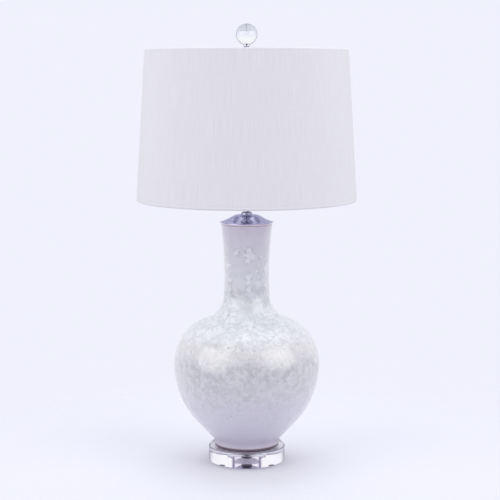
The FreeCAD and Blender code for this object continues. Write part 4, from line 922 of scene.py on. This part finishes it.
# %% Turning the section into a sheet
def cloth_mesh():
    """One layer of faces round the shade, with a map in metres along and across the strip."""
    made = bmesh.new()
    sheet_uv = made.loops.layers.uv.new("cloth")
    angles = shade_angles()
    rows = []
    for angle in angles:
        turn = math.radians(angle)
        rows.append([made.verts.new(((r + lap(angle)) * math.cos(turn) * MM,
                                     (r + lap(angle)) * math.sin(turn) * MM,
                                     (SHADE_FOOT + z) * MM)) for r, z in section])
    mean = (LOW_R + TOP_R) / 2
    for k, angle in enumerate(angles):
        after = (k + 1) % len(angles)
        end = angles[after] if after else 360.0
        for j in range(len(section) - 1):
            if in_slit((angle + end) / 2, run[j]):
                continue
            face = made.faces.new((rows[k][j], rows[k][j + 1],
                                   rows[after][j + 1], rows[after][j]))
            face.smooth = True
            corners = ((angle, run[j]), (angle, run[j + 1]), (end, run[j + 1]), (end, run[j]))
            for loop, (around, down) in zip(face.loops, corners):
                loop[sheet_uv].uv = (math.radians(around) * mean * MM, down * MM)
    mesh = bpy.data.meshes.new("shade_cloth")
    made.to_mesh(mesh)
    made.free()
    return mesh


shade_cloth = bpy.data.objects.new("shade_cloth", cloth_mesh())
scene.collection.objects.link(shade_cloth)
thickness = shade_cloth.modifiers.new("cloth_thickness", "SOLIDIFY")
thickness.thickness = CLOTH * MM
thickness.offset = -1
print("cloth faces:", len(shade_cloth.data.polygons))

# %% [markdown]
# ## The weave
#
# The cloth is a slubbed linen weave: threads half a millimetre apart, and every so often one
# that is thicker for a few centimetres. From across a room only the slubs show, as faint
# upright streaks. The pattern follows the sheet's own map, which is in real metres along and
# across the strip, so the threads keep their size all round.

# %% Cloth material
THREAD, WANDER = 0.5 * MM, 0.6 * MM
SLUB_ACROSS, SLUB_ALONG, WEFT_ACROSS, WEFT_ALONG = 1250.0, 16.0, 35.0, 1500.0
linen, tree, shader, place = new_finish("shade_linen")
sheet_map = put(tree, "ShaderNodeUVMap", uv_map="cloth").outputs[0]
straight, down, _ = split(tree, sheet_map)
around = scaled(tree, noise_of(tree, sheet_map, 30, 2), WANDER, straight)
slub_place = join(tree, product(tree, around, SLUB_ACROSS), product(tree, down, SLUB_ALONG))
slub = noise_of(tree, slub_place, 1.0, 3, 0.65)
weft_place = join(tree, product(tree, around, WEFT_ACROSS), product(tree, down, WEFT_ALONG))
weft = noise_of(tree, weft_place, 1.0, 2)
warp_wave, weft_wave = (
    sum_of(tree, "ABSOLUTE", sum_of(tree, "SINE", product(tree, way, 2 * math.pi / THREAD)))
    for way in (around, down))
threads = sum_of(tree, "ADD", warp_wave, weft_wave)
tone = sum_of(tree, "ADD", product(tree, slub, 0.9), product(tree, weft, 0.25))
relief = sum_of(tree, "ADD", slub, product(tree, threads, 0.25))
feed(tree, shader, {"Base Color": blend_of(tree, tone, screen(212, 211, 219),
                                           screen(243, 242, 250)),
                    "Roughness": 0.8, "Specular IOR Level": 0.25, "Sheen Weight": 0.15,
                    "Sheen Roughness": 0.5, "Normal": bump_of(tree, relief, 0.35, 0.2 * MM)})
shade_cloth.data.materials.append(linen)
print("linen nodes:", len(tree.nodes))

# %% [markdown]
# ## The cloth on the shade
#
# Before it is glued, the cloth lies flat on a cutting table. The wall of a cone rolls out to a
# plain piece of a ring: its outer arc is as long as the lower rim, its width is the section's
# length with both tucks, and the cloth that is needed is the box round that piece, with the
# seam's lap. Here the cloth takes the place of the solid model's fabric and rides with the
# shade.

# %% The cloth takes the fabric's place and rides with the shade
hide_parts("shade_fabric")
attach(shade_cloth, "shade")
